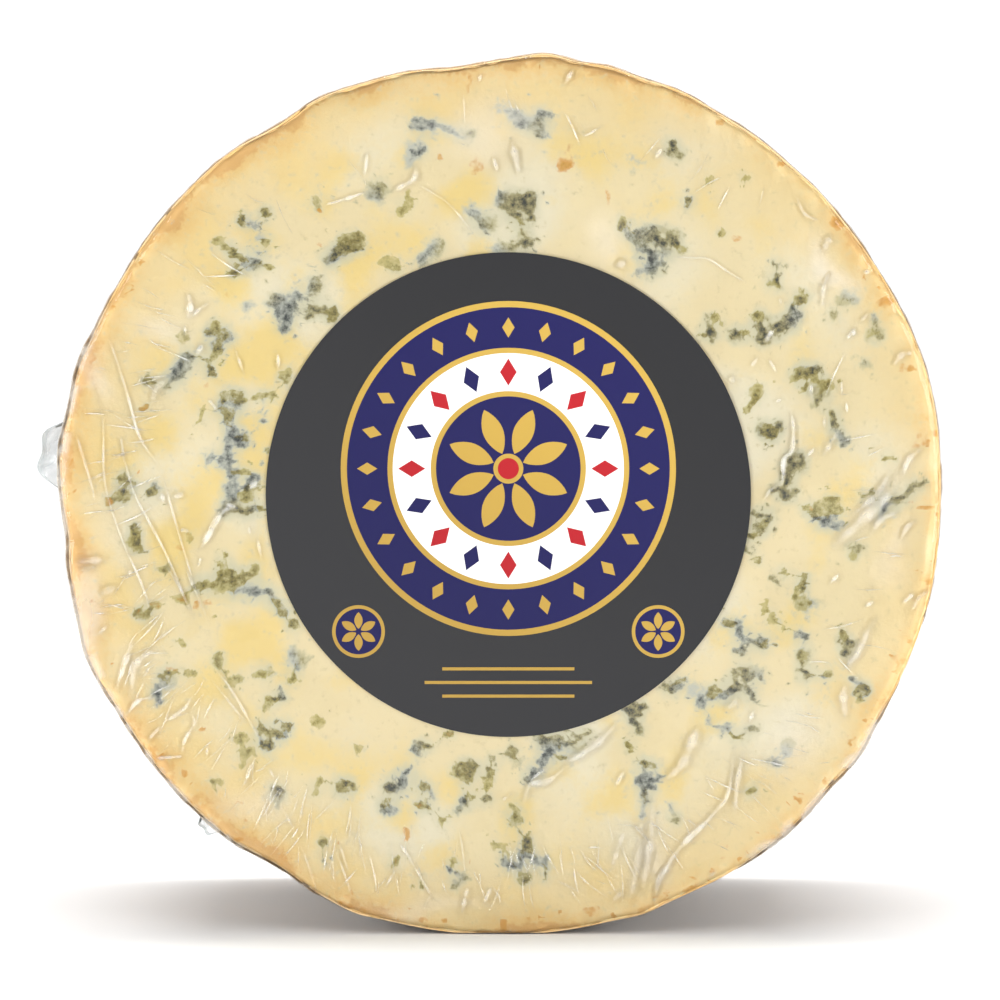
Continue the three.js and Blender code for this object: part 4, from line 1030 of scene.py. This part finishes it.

# %% [markdown]
# ## Folds in the film
#
# Tight film never lies quite flat. Spare film stands up in narrow folds, and each fold
# catches the light along its flank. They are what tells an eye that the cheese is wrapped.
# A bump in the finish would shade them, but would not catch light at the true angles, so
# each fold is a slim strip of its own with a rounded ridge. The folds of the face are read
# off the photograph, in its pixels, like the mould.

# %% Where the film folds
# Each fold: half its width and its height in millimetres, then the pixels it runs through.
FACE_FOLDS = (
    (0.68, 0.24, (109, 336), (127, 392), (140, 437), (161, 468)),
    (0.52, 0.17, (161, 468), (174, 517), (194, 584), (210, 626)),
    (0.52, 0.17, (92, 376), (103, 421), (105, 481), (121, 537), (143, 588), (165, 655)),
    (0.6, 0.21, (76, 432), (92, 486), (94, 500)),
    (0.52, 0.21, (118, 437), (127, 468), (136, 497), (163, 548), (179, 586), (194, 620)),
    (1.2, 0.5, (238, 508), (224, 511), (211, 531), (199, 552)), (0.8, 0.3, (201, 557), (198, 567)),
    (1.3, 0.5, (188, 292), (191, 306), (188, 321)), (1.1, 0.45, (210, 302), (199, 310), (190, 319)),
    (0.8, 0.3, (185, 324), (186, 336)), (1.2, 0.4, (204, 343), (196, 355)),
    (1.6, 0.5, (166, 379), (156, 390), (152, 403)), (0.7, 0.25, (278, 352), (279, 370)),
    (0.6, 0.2, (234, 345), (245, 376)), (0.6, 0.2, (208, 398), (218, 411)),
    (0.6, 0.2, (121, 436), (125, 463)), (1.6, 0.4, (74, 562), (111, 559)),
    (1.2, 0.35, (80, 569), (98, 567)), (1.6, 0.4, (98, 594), (120, 586)), (1, 0.3, (125, 572), (134, 573)),
    (1, 0.45, (134, 637), (125, 663), (115, 691)), (1.4, 0.5, (156, 648), (136, 664), (131, 694)),
    (0.9, 0.3, (109, 624), (97, 635)), (1.2, 0.5, (225, 504), (238, 508)),
    (1, 0.45, (259, 479), (248, 490)), (1.2, 0.4, (172, 497), (185, 494)), (1, 0.4, (161, 492), (164, 503)),
    (1, 0.35, (179, 530), (190, 531)), (0.52, 0.21, (165, 564), (176, 582), (194, 615)),
    (0.6, 0.25, (170, 561), (185, 599)), (0.45, 0.17, (185, 566), (202, 610)),
    (0.6, 0.2, (257, 537), (262, 561)), (0.6, 0.2, (249, 526), (250, 537)),
    (0.9, 0.4, (161, 726), (147, 741)), (1, 0.4, (161, 724), (183, 710), (192, 695)),
    (0.8, 0.35, (192, 715), (194, 724), (185, 739), (181, 755)), (0.8, 0.35, (154, 759), (183, 757)),
    (0.9, 0.35, (125, 717), (138, 701), (156, 698)), (0.68, 0.24, (218, 672), (234, 695), (259, 739)),
    (0.45, 0.14, (212, 681), (245, 723)), (0.9, 0.4, (254, 759), (243, 788)),
    (0.7, 0.3, (268, 768), (275, 781)), (0.6, 0.25, (279, 804), (290, 824), (295, 833)),
    (0.6, 0.2, (207, 744), (206, 759)), (0.45, 0.14, (301, 846), (317, 895)),
    (0.6, 0.2, (339, 844), (348, 873)), (1.5, 0.5, (617, 724), (597, 744), (575, 759), (561, 762)),
    (1.4, 0.5, (568, 766), (548, 782), (530, 786), (524, 804)), (0.8, 0.3, (530, 781), (548, 768)),
    (1.6, 0.4, (642, 815), (640, 851), (631, 900)),
    (1.8, 0.45, (653, 806), (651, 840), (646, 873), (642, 898)),
    (1.4, 0.4, (673, 862), (660, 880), (655, 902)), (1, 0.35, (624, 893), (611, 904)),
    (1, 0.35, (625, 770), (615, 788)), (1.2, 0.3, (625, 831), (612, 869)),
    (0.9, 0.3, (492, 887), (483, 907)), (1.1, 0.4, (468, 887), (461, 917)),
    (0.9, 0.3, (515, 793), (501, 802)), (0.6, 0.2, (412, 864), (434, 902)),
    (0.6, 0.2, (399, 844), (414, 866)), (0.6, 0.2, (396, 869), (385, 889)),
    (0.45, 0.14, (332, 840), (352, 898)), (0.6, 0.2, (557, 882), (579, 893)),
    (1.2, 0.5, (735, 746), (729, 793), (712, 817), (679, 851), (663, 878), (654, 906)),
    (1.2, 0.45, (744, 750), (738, 784), (735, 815)),
    (1.9, 0.5, (701, 724), (692, 744), (683, 764), (663, 784)), (1.7, 0.45, (739, 699), (726, 712)),
    (1.7, 0.45, (846, 681), (844, 697), (846, 721)), (1.4, 0.45, (860, 652), (846, 666)),
    (0.9, 0.3, (755, 710), (748, 726)), (0.9, 0.3, (717, 871), (708, 880)),
    (1.4, 0.4, (734, 374), (730, 387)),
    (1, 0.5, (790, 410), (793, 425), (792, 450), (784, 459), (782, 481), (770, 490), (764, 501)),
    (0.9, 0.4, (815, 447), (806, 457)), (1.3, 0.45, (837, 432), (822, 457)),
    (0.6, 0.2, (824, 414), (824, 430)), (1.5, 0.5, (889, 472), (878, 494), (851, 515)),
    (2.2, 0.6, (902, 470), (887, 494), (862, 521), (831, 548)),
    (1.2, 0.45, (922, 448), (909, 459), (902, 477)), (1.4, 0.45, (900, 512), (882, 519), (869, 537)),
    (1, 0.4, (918, 519), (907, 528), (900, 541)), (1.3, 0.5, (913, 353), (902, 354), (893, 366)),
    (0.9, 0.35, (915, 593), (902, 604)), (0.9, 0.35, (931, 590), (920, 597), (912, 611)),
    (0.9, 0.35, (875, 601), (864, 607)), (1.6, 0.5, (878, 615), (869, 629), (858, 653), (847, 671)),
    (0.9, 0.3, (840, 573), (829, 585)), (0.9, 0.35, (855, 327), (846, 340)),
    (1, 0.4, (773, 329), (764, 343)), (1, 0.35, (759, 356), (750, 367)), (0.6, 0.2, (841, 378), (842, 399)),
    (0.6, 0.2, (846, 401), (847, 414)), (0.7, 0.25, (768, 358), (777, 374)),
    (0.7, 0.25, (782, 399), (775, 402)), (0.9, 0.35, (811, 383), (811, 398)),
    (1.1, 0.4, (662, 148), (654, 160)), (1.5, 0.45, (831, 233), (821, 254)),
    (1.2, 0.4, (829, 271), (823, 288), (822, 308)), (0.7, 0.25, (795, 196), (804, 214), (819, 221)),
    (0.9, 0.3, (871, 271), (862, 273)), (1, 0.35, (869, 312), (860, 322)),
    (0.9, 0.35, (855, 328), (852, 337)),
    (0.52, 0.17, (672, 257), (695, 258), (708, 259), (728, 272), (746, 283)),
    (0.7, 0.3, (779, 297), (781, 305)), (1.4, 0.45, (511, 138), (519, 174)),
    (1, 0.35, (493, 156), (498, 174)), (1, 0.35, (574, 69), (564, 85)), (0.8, 0.3, (368, 152), (365, 176)),
    (0.7, 0.3, (325, 205), (347, 199), (367, 192)), (1.3, 0.45, (392, 192), (414, 179), (416, 163)),
    (0.45, 0.14, (419, 185), (450, 205), (477, 239)), (1.4, 0.4, (627, 261), (614, 267)),
    (0.8, 0.25, (577, 125), (584, 136), (604, 125)), (0.8, 0.25, (481, 74), (479, 83)),
)
print(len(FACE_FOLDS), "folds on the face")

# %% Raise the folds
FOLD_SPACING = 0.8
FOLD_ACROSS = 9
# Tight wrapping presses each fold of the face down to this share of its height.
FOLD_PRESSED = 0.4
# The higher a fold is, the whiter it looks, and one wider than FOLD_THIN looks paler. The
# white is milky creased film and, whitest along the crest, a painted highlight.
FOLD_WHITENS = 0.35
FOLD_THIN = 0.7
RIM_CRUMPLES = 260
CRUMPLED_ARCS = ((150, 235), (230, 320), (0, 360))
SIDE_FOLDS = 90
BACK_FOLDS = 2 * PLEATS


def smooth_path(places, spacing):
    """Points at even distances on a smooth curve through a few places."""
    places = np.asarray(places, float)
    if len(places) == 2:
        middle = (places[0] + places[1]) / 2
        places = np.array([places[0], middle, places[1]])
    ends = np.concatenate([[2 * places[0] - places[1]], places, [2 * places[-1] - places[-2]]])
    curve = []
    for before, start, end, after in zip(ends, ends[1:], ends[2:], ends[3:]):
        count = max(2, int(np.hypot(*(end - start)) / spacing))
        for part in np.arange(count) / count:
            square = part * part
            curve.append(
                start
                + 0.5 * part * (end - before)
                + square * (before - 2.5 * start + 2 * end - 0.5 * after)
                + square * part * (-0.5 * before + 1.5 * start - 1.5 * end + 0.5 * after)
            )
    return np.array(curve + [places[-1]])


def fold_strip(path, half_width, height, draw):
    """Places across and along one fold, how high the film stands there, and how white it is: milky film and
    a painted highlight, whitest along the crest.
    """
    along = np.gradient(path, axis=0)
    along /= np.maximum(np.hypot(along[:, 0], along[:, 1]), 1e-9)[:, None]
    across = np.stack([-along[:, 1], along[:, 0]], axis=-1)
    share = np.linspace(0, 1, len(path))
    swell = np.sin(math.pi * np.clip(share, 0.002, 0.998)) ** 0.6
    seed = 50 * draw.random()
    wander = np.array([noise.noise((6 * part, seed, height * 9)) for part in share])
    width = half_width * (0.35 + 0.65 * swell) * (1 + 0.5 * wander)
    side = np.linspace(-1, 1, FOLD_ACROSS)
    places = path[:, None, :] + across[:, None, :] * (width[:, None] * side[None, :])[..., None]
    ridge = 0.5 + 0.5 * np.cos(math.pi * side)
    crest = np.clip(swell[:, None] * ridge[None, :] * (1 + 0.8 * wander[:, None]), 0, 1)
    streaks = 0.85 + 0.5 * rough(spots(places[..., 0], places[..., 1]), 2.8)
    # The white along the crest is partly milky creased film and partly a painted highlight.
    white = crest * np.clip(streaks, 0.25, 1.2) * min(1, 0.35 + height / FOLD_WHITENS)
    return places, height * crest, white * min(1, FOLD_THIN / half_width) ** 0.6


def on_face(places, lift):
    """Folds of the cut face: places are x and z."""
    x, z = places[..., 0], places[..., 1]
    return in_frame(x, z, film_face(x, z) - 0.02 - lift)


def on_side(places, lift):
    """Folds of the side: places are millimetres round the wheel and behind the cut."""
    angle = np.degrees(places[..., 0] / WHEEL_RADIUS)
    behind = places[..., 1]
    radius = film_side(angle, behind) + 0.02 + lift
    return in_frame(*on_circle(angle, radius), behind)


def on_back(places, lift):
    """Folds of the back: places are x and z."""
    x, z = places[..., 0], places[..., 1]
    radius = np.hypot(x, z)
    return in_frame(x, z, WHEEL_DEPTH + back_relief(np.degrees(np.arctan2(z, x)), radius) + 0.02 + lift)


def unseen_folds(draw):
    """Folds where the photograph doesn't look: along the side, and over the back to the gather."""
    for _ in range(SIDE_FOLDS):
        around = draw.uniform(-WHEEL_RADIUS * math.pi / 2 + 18, WHEEL_RADIUS * math.pi * 1.5 - 18)
        start = draw.uniform(6, 70)
        length = draw.uniform(14, 45)
        lean = draw.uniform(-0.3, 0.3)
        end = min(start + length, 110)
        middle = (around + lean * length / 2 + draw.uniform(-1.5, 1.5), (start + end) / 2)
        path = [(around, start), middle, (around + lean * length, end)]
        yield on_side, path, draw.uniform(0.4, 1.2), draw.uniform(0.1, 0.3)
    for fold in range(BACK_FOLDS):
        angle = (fold + draw.uniform(-0.35, 0.35)) * math.tau / BACK_FOLDS
        near, far = draw.uniform(8, 20), draw.uniform(45, 84)
        bend = draw.uniform(-0.12, 0.12)
        path = [
            (radius * math.cos(angle + bend * share), radius * math.sin(angle + bend * share))
            for radius, share in ((near, 0), ((near + far) / 2, 1), (far, 0.4))
        ]
        yield on_back, path, draw.uniform(0.5, 1.2), draw.uniform(0.1, 0.35)


def rim_crumples(draw):
    """Short crumples that run in from the rim of the face, where the film turns over it."""
    for _ in range(RIM_CRUMPLES):
        angle = math.radians(draw.choice([draw.uniform(*arc) for arc in CRUMPLED_ARCS]))
        length = draw.uniform(3, 11)
        middle = draw.uniform(80, 97 - length / 2)
        lean = draw.gauss(0.2, 0.35)
        way = (math.cos(angle + lean) * length / 2, math.sin(angle + lean) * length / 2)
        x, z = middle * math.cos(angle), middle * math.sin(angle)
        bow = (x + draw.uniform(-0.4, 0.4), z + draw.uniform(-0.4, 0.4))
        path = [(x - way[0], z - way[1]), bow, (x + way[0], z + way[1])]
        yield on_face, path, draw.uniform(0.12, 0.34), draw.uniform(0.02, 0.14)


def folds_piece():
    """Every fold as a slim strip that stands on the film."""
    draw = random.Random(11)
    wanted = [
        (on_face, [from_photo(*pixel) for pixel in pixels], half_width, FOLD_PRESSED * height)
        for half_width, height, *pixels in FACE_FOLDS
    ]
    wanted += rim_crumples(draw)
    wanted += unseen_folds(draw)
    points, faces, haze = [], [], []
    first = 0
    for surface, path, half_width, height in wanted:
        places, lift, white = fold_strip(smooth_path(path, FOLD_SPACING), half_width, height, draw)
        rows, columns = lift.shape
        points.append(surface(places, lift))
        haze.append(white.ravel())
        quads = grid_faces(first + np.arange(rows * columns).reshape(rows, columns))
        faces += quads.tolist() if surface is on_face else quads[:, ::-1].tolist()
        first += rows * columns
    fields = {"haze": np.concatenate(haze)}
    return mesh_piece("film_folds", np.concatenate(points), faces, fields)


folds = folds_piece()
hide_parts("wheel_in_film")

# %% [markdown]
# ## Ears of spare film
#
# Where the wrap was pinched together, a flap of film stands out of the left side, with a
# small one low down. Each is a thin flap, doubled film that has gone a little milky, with
# a rolled and crumpled edge.

# %% Shape the ears
# Each ear: its middle in degrees, its length, how far it stands out, how far behind the cut.
FILM_EARS = ((175, 19, 5.2, 16), (228.5, 7, 2.8, 10))
EAR_ROWS = 34
EAR_COLUMNS = 14


def ears_piece():
    """Both flaps in one mesh, each a front and a back skin that meet at the free edges."""
    points, faces, haze = [], [], []
    first = 0
    for middle, long, out, back in FILM_EARS:
        share = np.linspace(-1, 1, EAR_ROWS)[:, None]
        outward = np.linspace(0, 1, EAR_COLUMNS)[None, :]
        reach = out * (1 - abs(share) ** 2.6) * (1 - 0.18 * np.sin(5 * share + 1)) + 0.35
        angle = middle - np.degrees(share * long / 2 / WHEEL_RADIUS) * (1 - 0.15 * outward)
        radius = WHEEL_RADIUS + rim_swell(angle) - 1 + (reach + 0.6) * outward
        flat = spots(share * long / 2, outward * out)
        curl = 0.9 * rough(flat + middle, 3.5) * outward + 0.5 * np.sin(2.5 * outward + 3 * share)
        for side in (-1, 1):
            thickness = side * 0.25 * (1 - outward**4) * (1 - share**6)
            behind = back + curl + thickness
            points.append(in_frame(*on_circle(angle, radius), behind))
            index = first + np.arange(EAR_ROWS * EAR_COLUMNS).reshape(EAR_ROWS, EAR_COLUMNS)
            faces += grid_faces(index)[:, :: -side].tolist()
            rolled = 0.35 + 0.65 * ease(outward, 0.75, 1) + 0.3 * abs(curl)
            haze.append(np.clip(rolled, 0, 1).ravel())
            first += EAR_ROWS * EAR_COLUMNS
    return mesh_piece("film_ears", np.concatenate(points), faces, {"haze": np.concatenate(haze)})


ears = ears_piece()
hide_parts("wheel_in_film")

# %% [markdown]
# ## The finish of the film
#
# Glass would bend the light twice, but film is too thin to bend it at all: light either
# passes straight through or is mirrored, more so at a slant. So the finish mixes a clear
# and a glossy shader by Fresnel. Where the film is creased or stands off the cheese it
# scatters a little white, which is the haze. On the folds the haze is partly a painted
# highlight, whitest along the crest.

# %% Finish the film


def film_finish(name, haze_top, index, shine, milk_colour):
    """Clear food film, cloudier where its stored haze is high.

    The index of refraction says how much light is mirrored, and shine how rough the gloss is.
    """
    finish, tree = new_finish(name)
    mirrored = add(tree, "ShaderNodeFresnel", {"IOR": index}).outputs[0]
    clear = add(tree, "ShaderNodeBsdfTransparent", {"Color": (1, 1, 1, 1)}).outputs[0]
    gloss = add(tree, "ShaderNodeBsdfGlossy", {"Roughness": shine}).outputs[0]
    sheet = add(tree, "ShaderNodeMixShader", {0: mirrored, 1: clear, 2: gloss}).outputs[0]
    milk = add(tree, "ShaderNodeBsdfDiffuse", {"Color": hex_to_linear(milk_colour)}).outputs[0]
    stored = add(tree, "ShaderNodeAttribute", attribute_name="haze").outputs["Fac"]
    limits = {"Value": stored, "From Min": 0.05, "From Max": 1.0, "To Max": haze_top}
    haze = add(tree, "ShaderNodeMapRange", limits, interpolation_type="SMOOTHSTEP").outputs["Result"]
    surface = add(tree, "ShaderNodeMixShader", {0: haze, 1: sheet, 2: milk}).outputs[0]
    add(tree, "ShaderNodeOutputMaterial", {"Surface": surface})
    return finish


# The name, how milky it gets, how strongly it mirrors, its roughness and the milk's colour.
for piece, settings in (
    (film, ("clear_food_film", 0.32, 1.4, 0.06, "F1EDE4")),
    # The folds' milk is partly a painted highlight.
    (folds, ("creased_food_film", 0.62, 1.45, 0.08, "FCFAF6")),
    (ears, ("doubled_food_film", 0.8, 1.5, 0.12, "CDD3D4")),
):
    piece.data.materials.append(film_finish(*settings))
    print(piece.name, "is finished as", piece.active_material.name)

# %% [markdown]
# ## The label
#
# A round label of coated paper, 110 mm across, sticks to the film over the middle of the
# face. Its print is a pattern of plain fields: charcoal ground, a medallion of rings with
# small diamonds and petals, and a few rules below. An image could carry it, but fields cut
# into the mesh stay sharp however near the camera comes. Every field is a polygon laid
# over those before it, and Blender's Delaunay triangulation cuts them all into one sheet.

# %% Draw the print
MEDALLION_UP = 6
ROUNDEL_ASIDE = 34
ROUNDEL_UP = -31
SQUARE_CORNERS = ((-1, -1), (1, -1), (1, 1), (-1, 1))


def circle(radius, x=0.0, z=0.0, sides=128):
    """A circle as a polygon, in millimetres from the middle of the label."""
    turns = [math.tau * i / sides for i in range(sides)]
    return [(x + radius * math.cos(turn), z + radius * math.sin(turn)) for turn in turns]


def turned(shape, degrees, x=0.0, z=0.0):
    """A shape turned round the origin, then moved."""
    cosine, sine = math.cos(math.radians(degrees)), math.sin(math.radians(degrees))
    return [(x + px * cosine - pz * sine, z + px * sine + pz * cosine) for px, pz in shape]


def diamond(distance, long, wide):
    """A small diamond that points outwards at a distance from the origin."""
    return [(distance - long / 2, 0), (distance, -wide / 2), (distance + long / 2, 0), (distance, wide / 2)]


def petal(start, end, wide):
    """A pointed leaf shape from start to end along x."""
    turns = [i / 12 for i in range(13)]
    lower = [(start + (end - start) * part, -wide / 2 * math.sin(math.pi * part) ** 0.8) for part in turns]
    upper = [(x, -z) for x, z in reversed(lower[1:-1])]
    return lower + upper


def bar(x, z, long, high):
    """A flat rule round x and z."""
    return [(x + side * long / 2, z + end * high / 2) for side, end in SQUARE_CORNERS]


def print_fields():
    """Every field of the print as an ink and a polygon, the lowest first."""
    fields = [("charcoal", circle(LABEL_RADIUS, sides=192))]
    up = MEDALLION_UP
    for ink, radius in (
        ("gold", 38), ("navy", 36.6), ("gold", 27.4), ("white", 26.2), ("gold", 17.6), ("navy", 16.4),
    ):
        fields.append((ink, circle(radius, z=up)))
    for i in range(24):
        fields.append(("gold", turned(diamond(32, 4.6, 2.8), 15 * i, z=up)))
    for i in range(16):
        fields.append(("navy" if i % 2 else "red", turned(diamond(21.9, 6.2, 3.8), 22.5 * i, z=up)))
    for i in range(8):
        fields.append(("gold", turned(petal(3.6, 14.4, 4.6), 45 * i + 22.5, z=up)))
    fields += [("gold", circle(3.4, z=up, sides=48)), ("red", circle(2.4, z=up, sides=48))]
    for x in (-ROUNDEL_ASIDE, ROUNDEL_ASIDE):
        fields += [(ink, circle(radius, x, ROUNDEL_UP, 64)) for ink, radius in (("gold", 6), ("navy", 5.2))]
        fields += [("gold", turned(petal(0.6, 4.4, 1.9), 60 * i + 30, x, ROUNDEL_UP)) for i in range(6)]
    for z, long in ((-39.5, 30), (-42.6, 38), (-45.7, 30)):
        fields.append(("gold", bar(0, z, long, 0.7)))
    return fields


print(len(print_fields()), "printed fields")

# %% Cut and bend the label
SHEET_SPACING = 2.5


def label_bend(x, z):
    """The slight waves of stuck paper, in millimetres."""
    inside = 1 - ease(np.hypot(x, z), LABEL_RADIUS - 16, LABEL_RADIUS - 2)
    return inside * (0.04 * np.sin(x / 13 + 0.6 * np.sin(z / 19)) + 0.03 * np.sin(z / 11 + 1))


def label_piece():
    """The printed face cut by its fields, with the paper's edge and back."""
    fields = print_fields()
    corners, loops = [], []
    for _, polygon in fields:
        loops.append(list(range(len(corners), len(corners) + len(polygon))))
        corners += polygon
    spread = np.arange(-LABEL_RADIUS, LABEL_RADIUS, SHEET_SPACING)
    corners += [(x, z) for x in spread for z in spread if math.hypot(x, z) < LABEL_RADIUS - 1]
    corners = [Vector(corner) for corner in corners]
    cut, _, triangles, _, _, sources = delaunay_2d_cdt(corners, [], loops, 0, 1e-5)
    inks = sorted({ink for ink, _ in fields})
    sheet = np.array([tuple(point) for point in cut])
    front = -LABEL_GAP - LABEL_THICKNESS + 0.12 + label_bend(sheet[:, 0], sheet[:, 1])
    edge = [i for i, point in enumerate(sheet) if math.hypot(*point) > LABEL_RADIUS - 0.01]
    edge.sort(key=lambda i: math.atan2(sheet[i][1], sheet[i][0]))
    back = [len(sheet) + i for i in range(len(edge))]
    points = np.concatenate([
        in_frame(sheet[:, 0] + LABEL_RIGHT, sheet[:, 1] + LABEL_UP, front),
        in_frame(sheet[edge, 0] + LABEL_RIGHT, sheet[edge, 1] + LABEL_UP, -LABEL_GAP + 0.05),
    ])
    faces = [list(triangle) for triangle in triangles]
    tones = [inks.index(fields[max(source)][0]) if source else inks.index("charcoal") for source in sources]
    for i, j in zip(range(len(edge)), [*range(1, len(edge)), 0]):
        faces.append([edge[i], back[i], back[j], edge[j]])
    faces.append(back[::-1])
    tones += [inks.index("charcoal")] * (len(faces) - len(tones))
    piece = mesh_piece("paper_label", points, faces, {})
    piece.data.polygons.foreach_set("material_index", tones)
    piece.data.set_sharp_from_angle(angle=math.radians(30))
    return piece, inks


label, label_inks = label_piece()
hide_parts("label")
print("Inks:", ", ".join(label_inks))

# %% [markdown]
# Printed inks on coated paper share one satin varnish, so one function makes them all. Each
# ink carries a painted sheen that shades softly across the label, from the lower left to the
# upper right: the charcoal gets darker and the others get lighter.

# %% Ink the label
# The way across the label in which the painted sheen shades the inks, as right, back and up.
SHEEN_SLANT = (0.6, 0, 0.8)


def ink_finish(name, colour, second):
    """Satin printed ink with a painted sheen that shades softly from one colour to a second."""
    finish, tree = new_finish(name)
    place = add(tree, "ShaderNodeTexCoord").outputs["Object"]
    slant = add(tree, "ShaderNodeVectorMath", {0: place, 1: SHEEN_SLANT}, operation="DOT_PRODUCT")
    middle = SHEEN_SLANT[0] * (axis_x + LABEL_RIGHT) + SHEEN_SLANT[2] * (axis_z + LABEL_UP)
    start, end = (middle - LABEL_RADIUS) * MM, (middle + LABEL_RADIUS) * MM
    # The shading from one colour to the second is a painted sheen, not print.
    printed = layered(tree, colour, ((slant.outputs["Value"], start, end, 1, second),))
    surface = add(tree, "ShaderNodeBsdfPrincipled", {"Base Color": printed, "Roughness": 0.4, "IOR": 1.4})
    add(tree, "ShaderNodeOutputMaterial", {"Surface": surface.outputs[0]})
    return finish


# Each ink as two colours: at the lower left, and at the upper right with the painted sheen.
INK_COLOURS = {
    "charcoal": ("29292B", "222224"),
    "gold": ("A4843A", "BE9D46"),
    "navy": ("0C0A45", "110E4E"),
    "white": ("E6E6E6", "EFEFEF"),
    "red": ("9A101A", "AC121E"),
}
for ink in label_inks:
    label.data.materials.append(ink_finish(f"{ink}_ink_on_coated_paper", *INK_COLOURS[ink]))
print(len(label.data.materials), "inks on the label")

# %% [markdown]
# ## Floor, light and camera
#
# The wheel stands on a white studio floor under a soft white sky. Film and varnish mirror
# what is behind the camera, and a bright sky there would veil the dark mould, so the sky
# is dimmer on that side. Wide panels at the sides and above light the face from a slant
# instead, and the folds of the film mirror them. One more, almost overhead, lights the
# floor. The camera is 1.6 m away with a long lens, so the wheel looks as round as it is,
# and it looks down by 3 degrees.

# %% Light the studio
FLOOR_HALF_WIDTH = 1.35
FLOOR_GREY = 0.88
CAMERA_DISTANCE = 1.6
CAMERA_RISE = 3
MIDDLE_PIXEL = 500
VIEW_WIDTH = 2 * MIDDLE_PIXEL * PIXEL * MM
SKY_IN_FRONT = 0.34
SKY_BEHIND = 1.1
# Each panel: azimuth and height in degrees, distance and size in metres, and watts.
PANELS = (
    ("left_panel", -50, 4, 1.2, (0.9, 0.6), 11.3),
    ("right_panel", 50, 4, 1.2, (0.9, 0.6), 11.5),
    ("top_panel", 0, 44, 1.2, (0.9, 0.15), 0.6),
    ("back_panel", 180, 78, 1.5, (1.6, 0.5), 22),
)

floor_mesh = bpy.data.meshes.new("floor")
floor_corners = [(x * FLOOR_HALF_WIDTH, y * FLOOR_HALF_WIDTH, 0) for x, y in SQUARE_CORNERS]
floor_mesh.from_pydata(floor_corners, [], [(0, 1, 2, 3)])
floor = bpy.data.objects.new("floor", floor_mesh)
bpy.context.scene.collection.objects.link(floor)
floor_finish, floor_tree = new_finish("white_studio_floor")
chalky = {"Base Color": (FLOOR_GREY, FLOOR_GREY, FLOOR_GREY, 1), "Roughness": 0.9}
floor_shader = add(floor_tree, "ShaderNodeBsdfPrincipled", chalky)
add(floor_tree, "ShaderNodeOutputMaterial", {"Surface": floor_shader.outputs[0]})
floor_mesh.materials.append(floor_finish)

world = bpy.data.worlds.new("studio")
world.use_nodes = True
world.node_tree.nodes.clear()
way = add(world.node_tree, "ShaderNodeTexCoord").outputs["Generated"]
depth = add(world.node_tree, "ShaderNodeSeparateXYZ", {0: way}).outputs["Y"]
limits = {"Value": depth, "From Min": -0.65, "From Max": 0.2, "To Min": SKY_IN_FRONT, "To Max": SKY_BEHIND}
bright = add(world.node_tree, "ShaderNodeMapRange", limits, interpolation_type="SMOOTHSTEP")
white = {"Color": (1, 1, 1, 1), "Strength": bright.outputs["Result"]}
sky = add(world.node_tree, "ShaderNodeBackground", white)
add(world.node_tree, "ShaderNodeOutputWorld", {"Surface": sky.outputs[0]})
bpy.context.scene.world = world

face_middle = Vector((axis_x, face_y, axis_z)) * MM


def panel(name, azimuth, height, distance, size, power):
    """A soft oblong light that faces the middle of the cut face. Azimuth 0 is the camera's side."""
    light = bpy.data.lights.new(name, "AREA")
    light.shape = "RECTANGLE"
    light.size, light.size_y = size
    light.energy = power
    lamp = bpy.data.objects.new(name, light)
    across, up = math.radians(azimuth), math.radians(height)
    way = Vector((math.sin(across) * math.cos(up), -math.cos(across) * math.cos(up), math.sin(up)))
    lamp.location = face_middle + way * distance
    lamp.rotation_euler = (face_middle - lamp.location).to_track_quat("-Z", "Y").to_euler()
    bpy.context.scene.collection.objects.link(lamp)


for settings in PANELS:
    panel(*settings)
bpy.context.scene.view_settings.view_transform = "Standard"
print(len(PANELS), "panels and a soft sky")

# %% Place the camera
camera_data = bpy.data.cameras.new("camera")
camera_data.sensor_width = 36
camera_data.lens = camera_data.sensor_width * CAMERA_DISTANCE / VIEW_WIDTH
camera = bpy.data.objects.new("camera", camera_data)
rise = math.radians(CAMERA_RISE)
centre_shift = Vector((MIDDLE_PIXEL - AXIS_PIXEL[0], 0, AXIS_PIXEL[1] - MIDDLE_PIXEL)) * PIXEL * MM
aim = face_middle + centre_shift
camera.location = aim + Vector((0, -math.cos(rise), math.sin(rise))) * CAMERA_DISTANCE
camera.rotation_euler = (aim - camera.location).to_track_quat("-Z", "Y").to_euler()
bpy.context.scene.collection.objects.link(camera)
bpy.context.scene.camera = camera
print(f"The lens is {camera_data.lens:.0f} mm")

# %% [markdown]
# ## Bring the scene up to date
#
# The dressed wheel has to keep the size of the frame. The last line brings the scene up to
# date.

# %% Bring the scene up to date
bpy.context.view_layer.update()
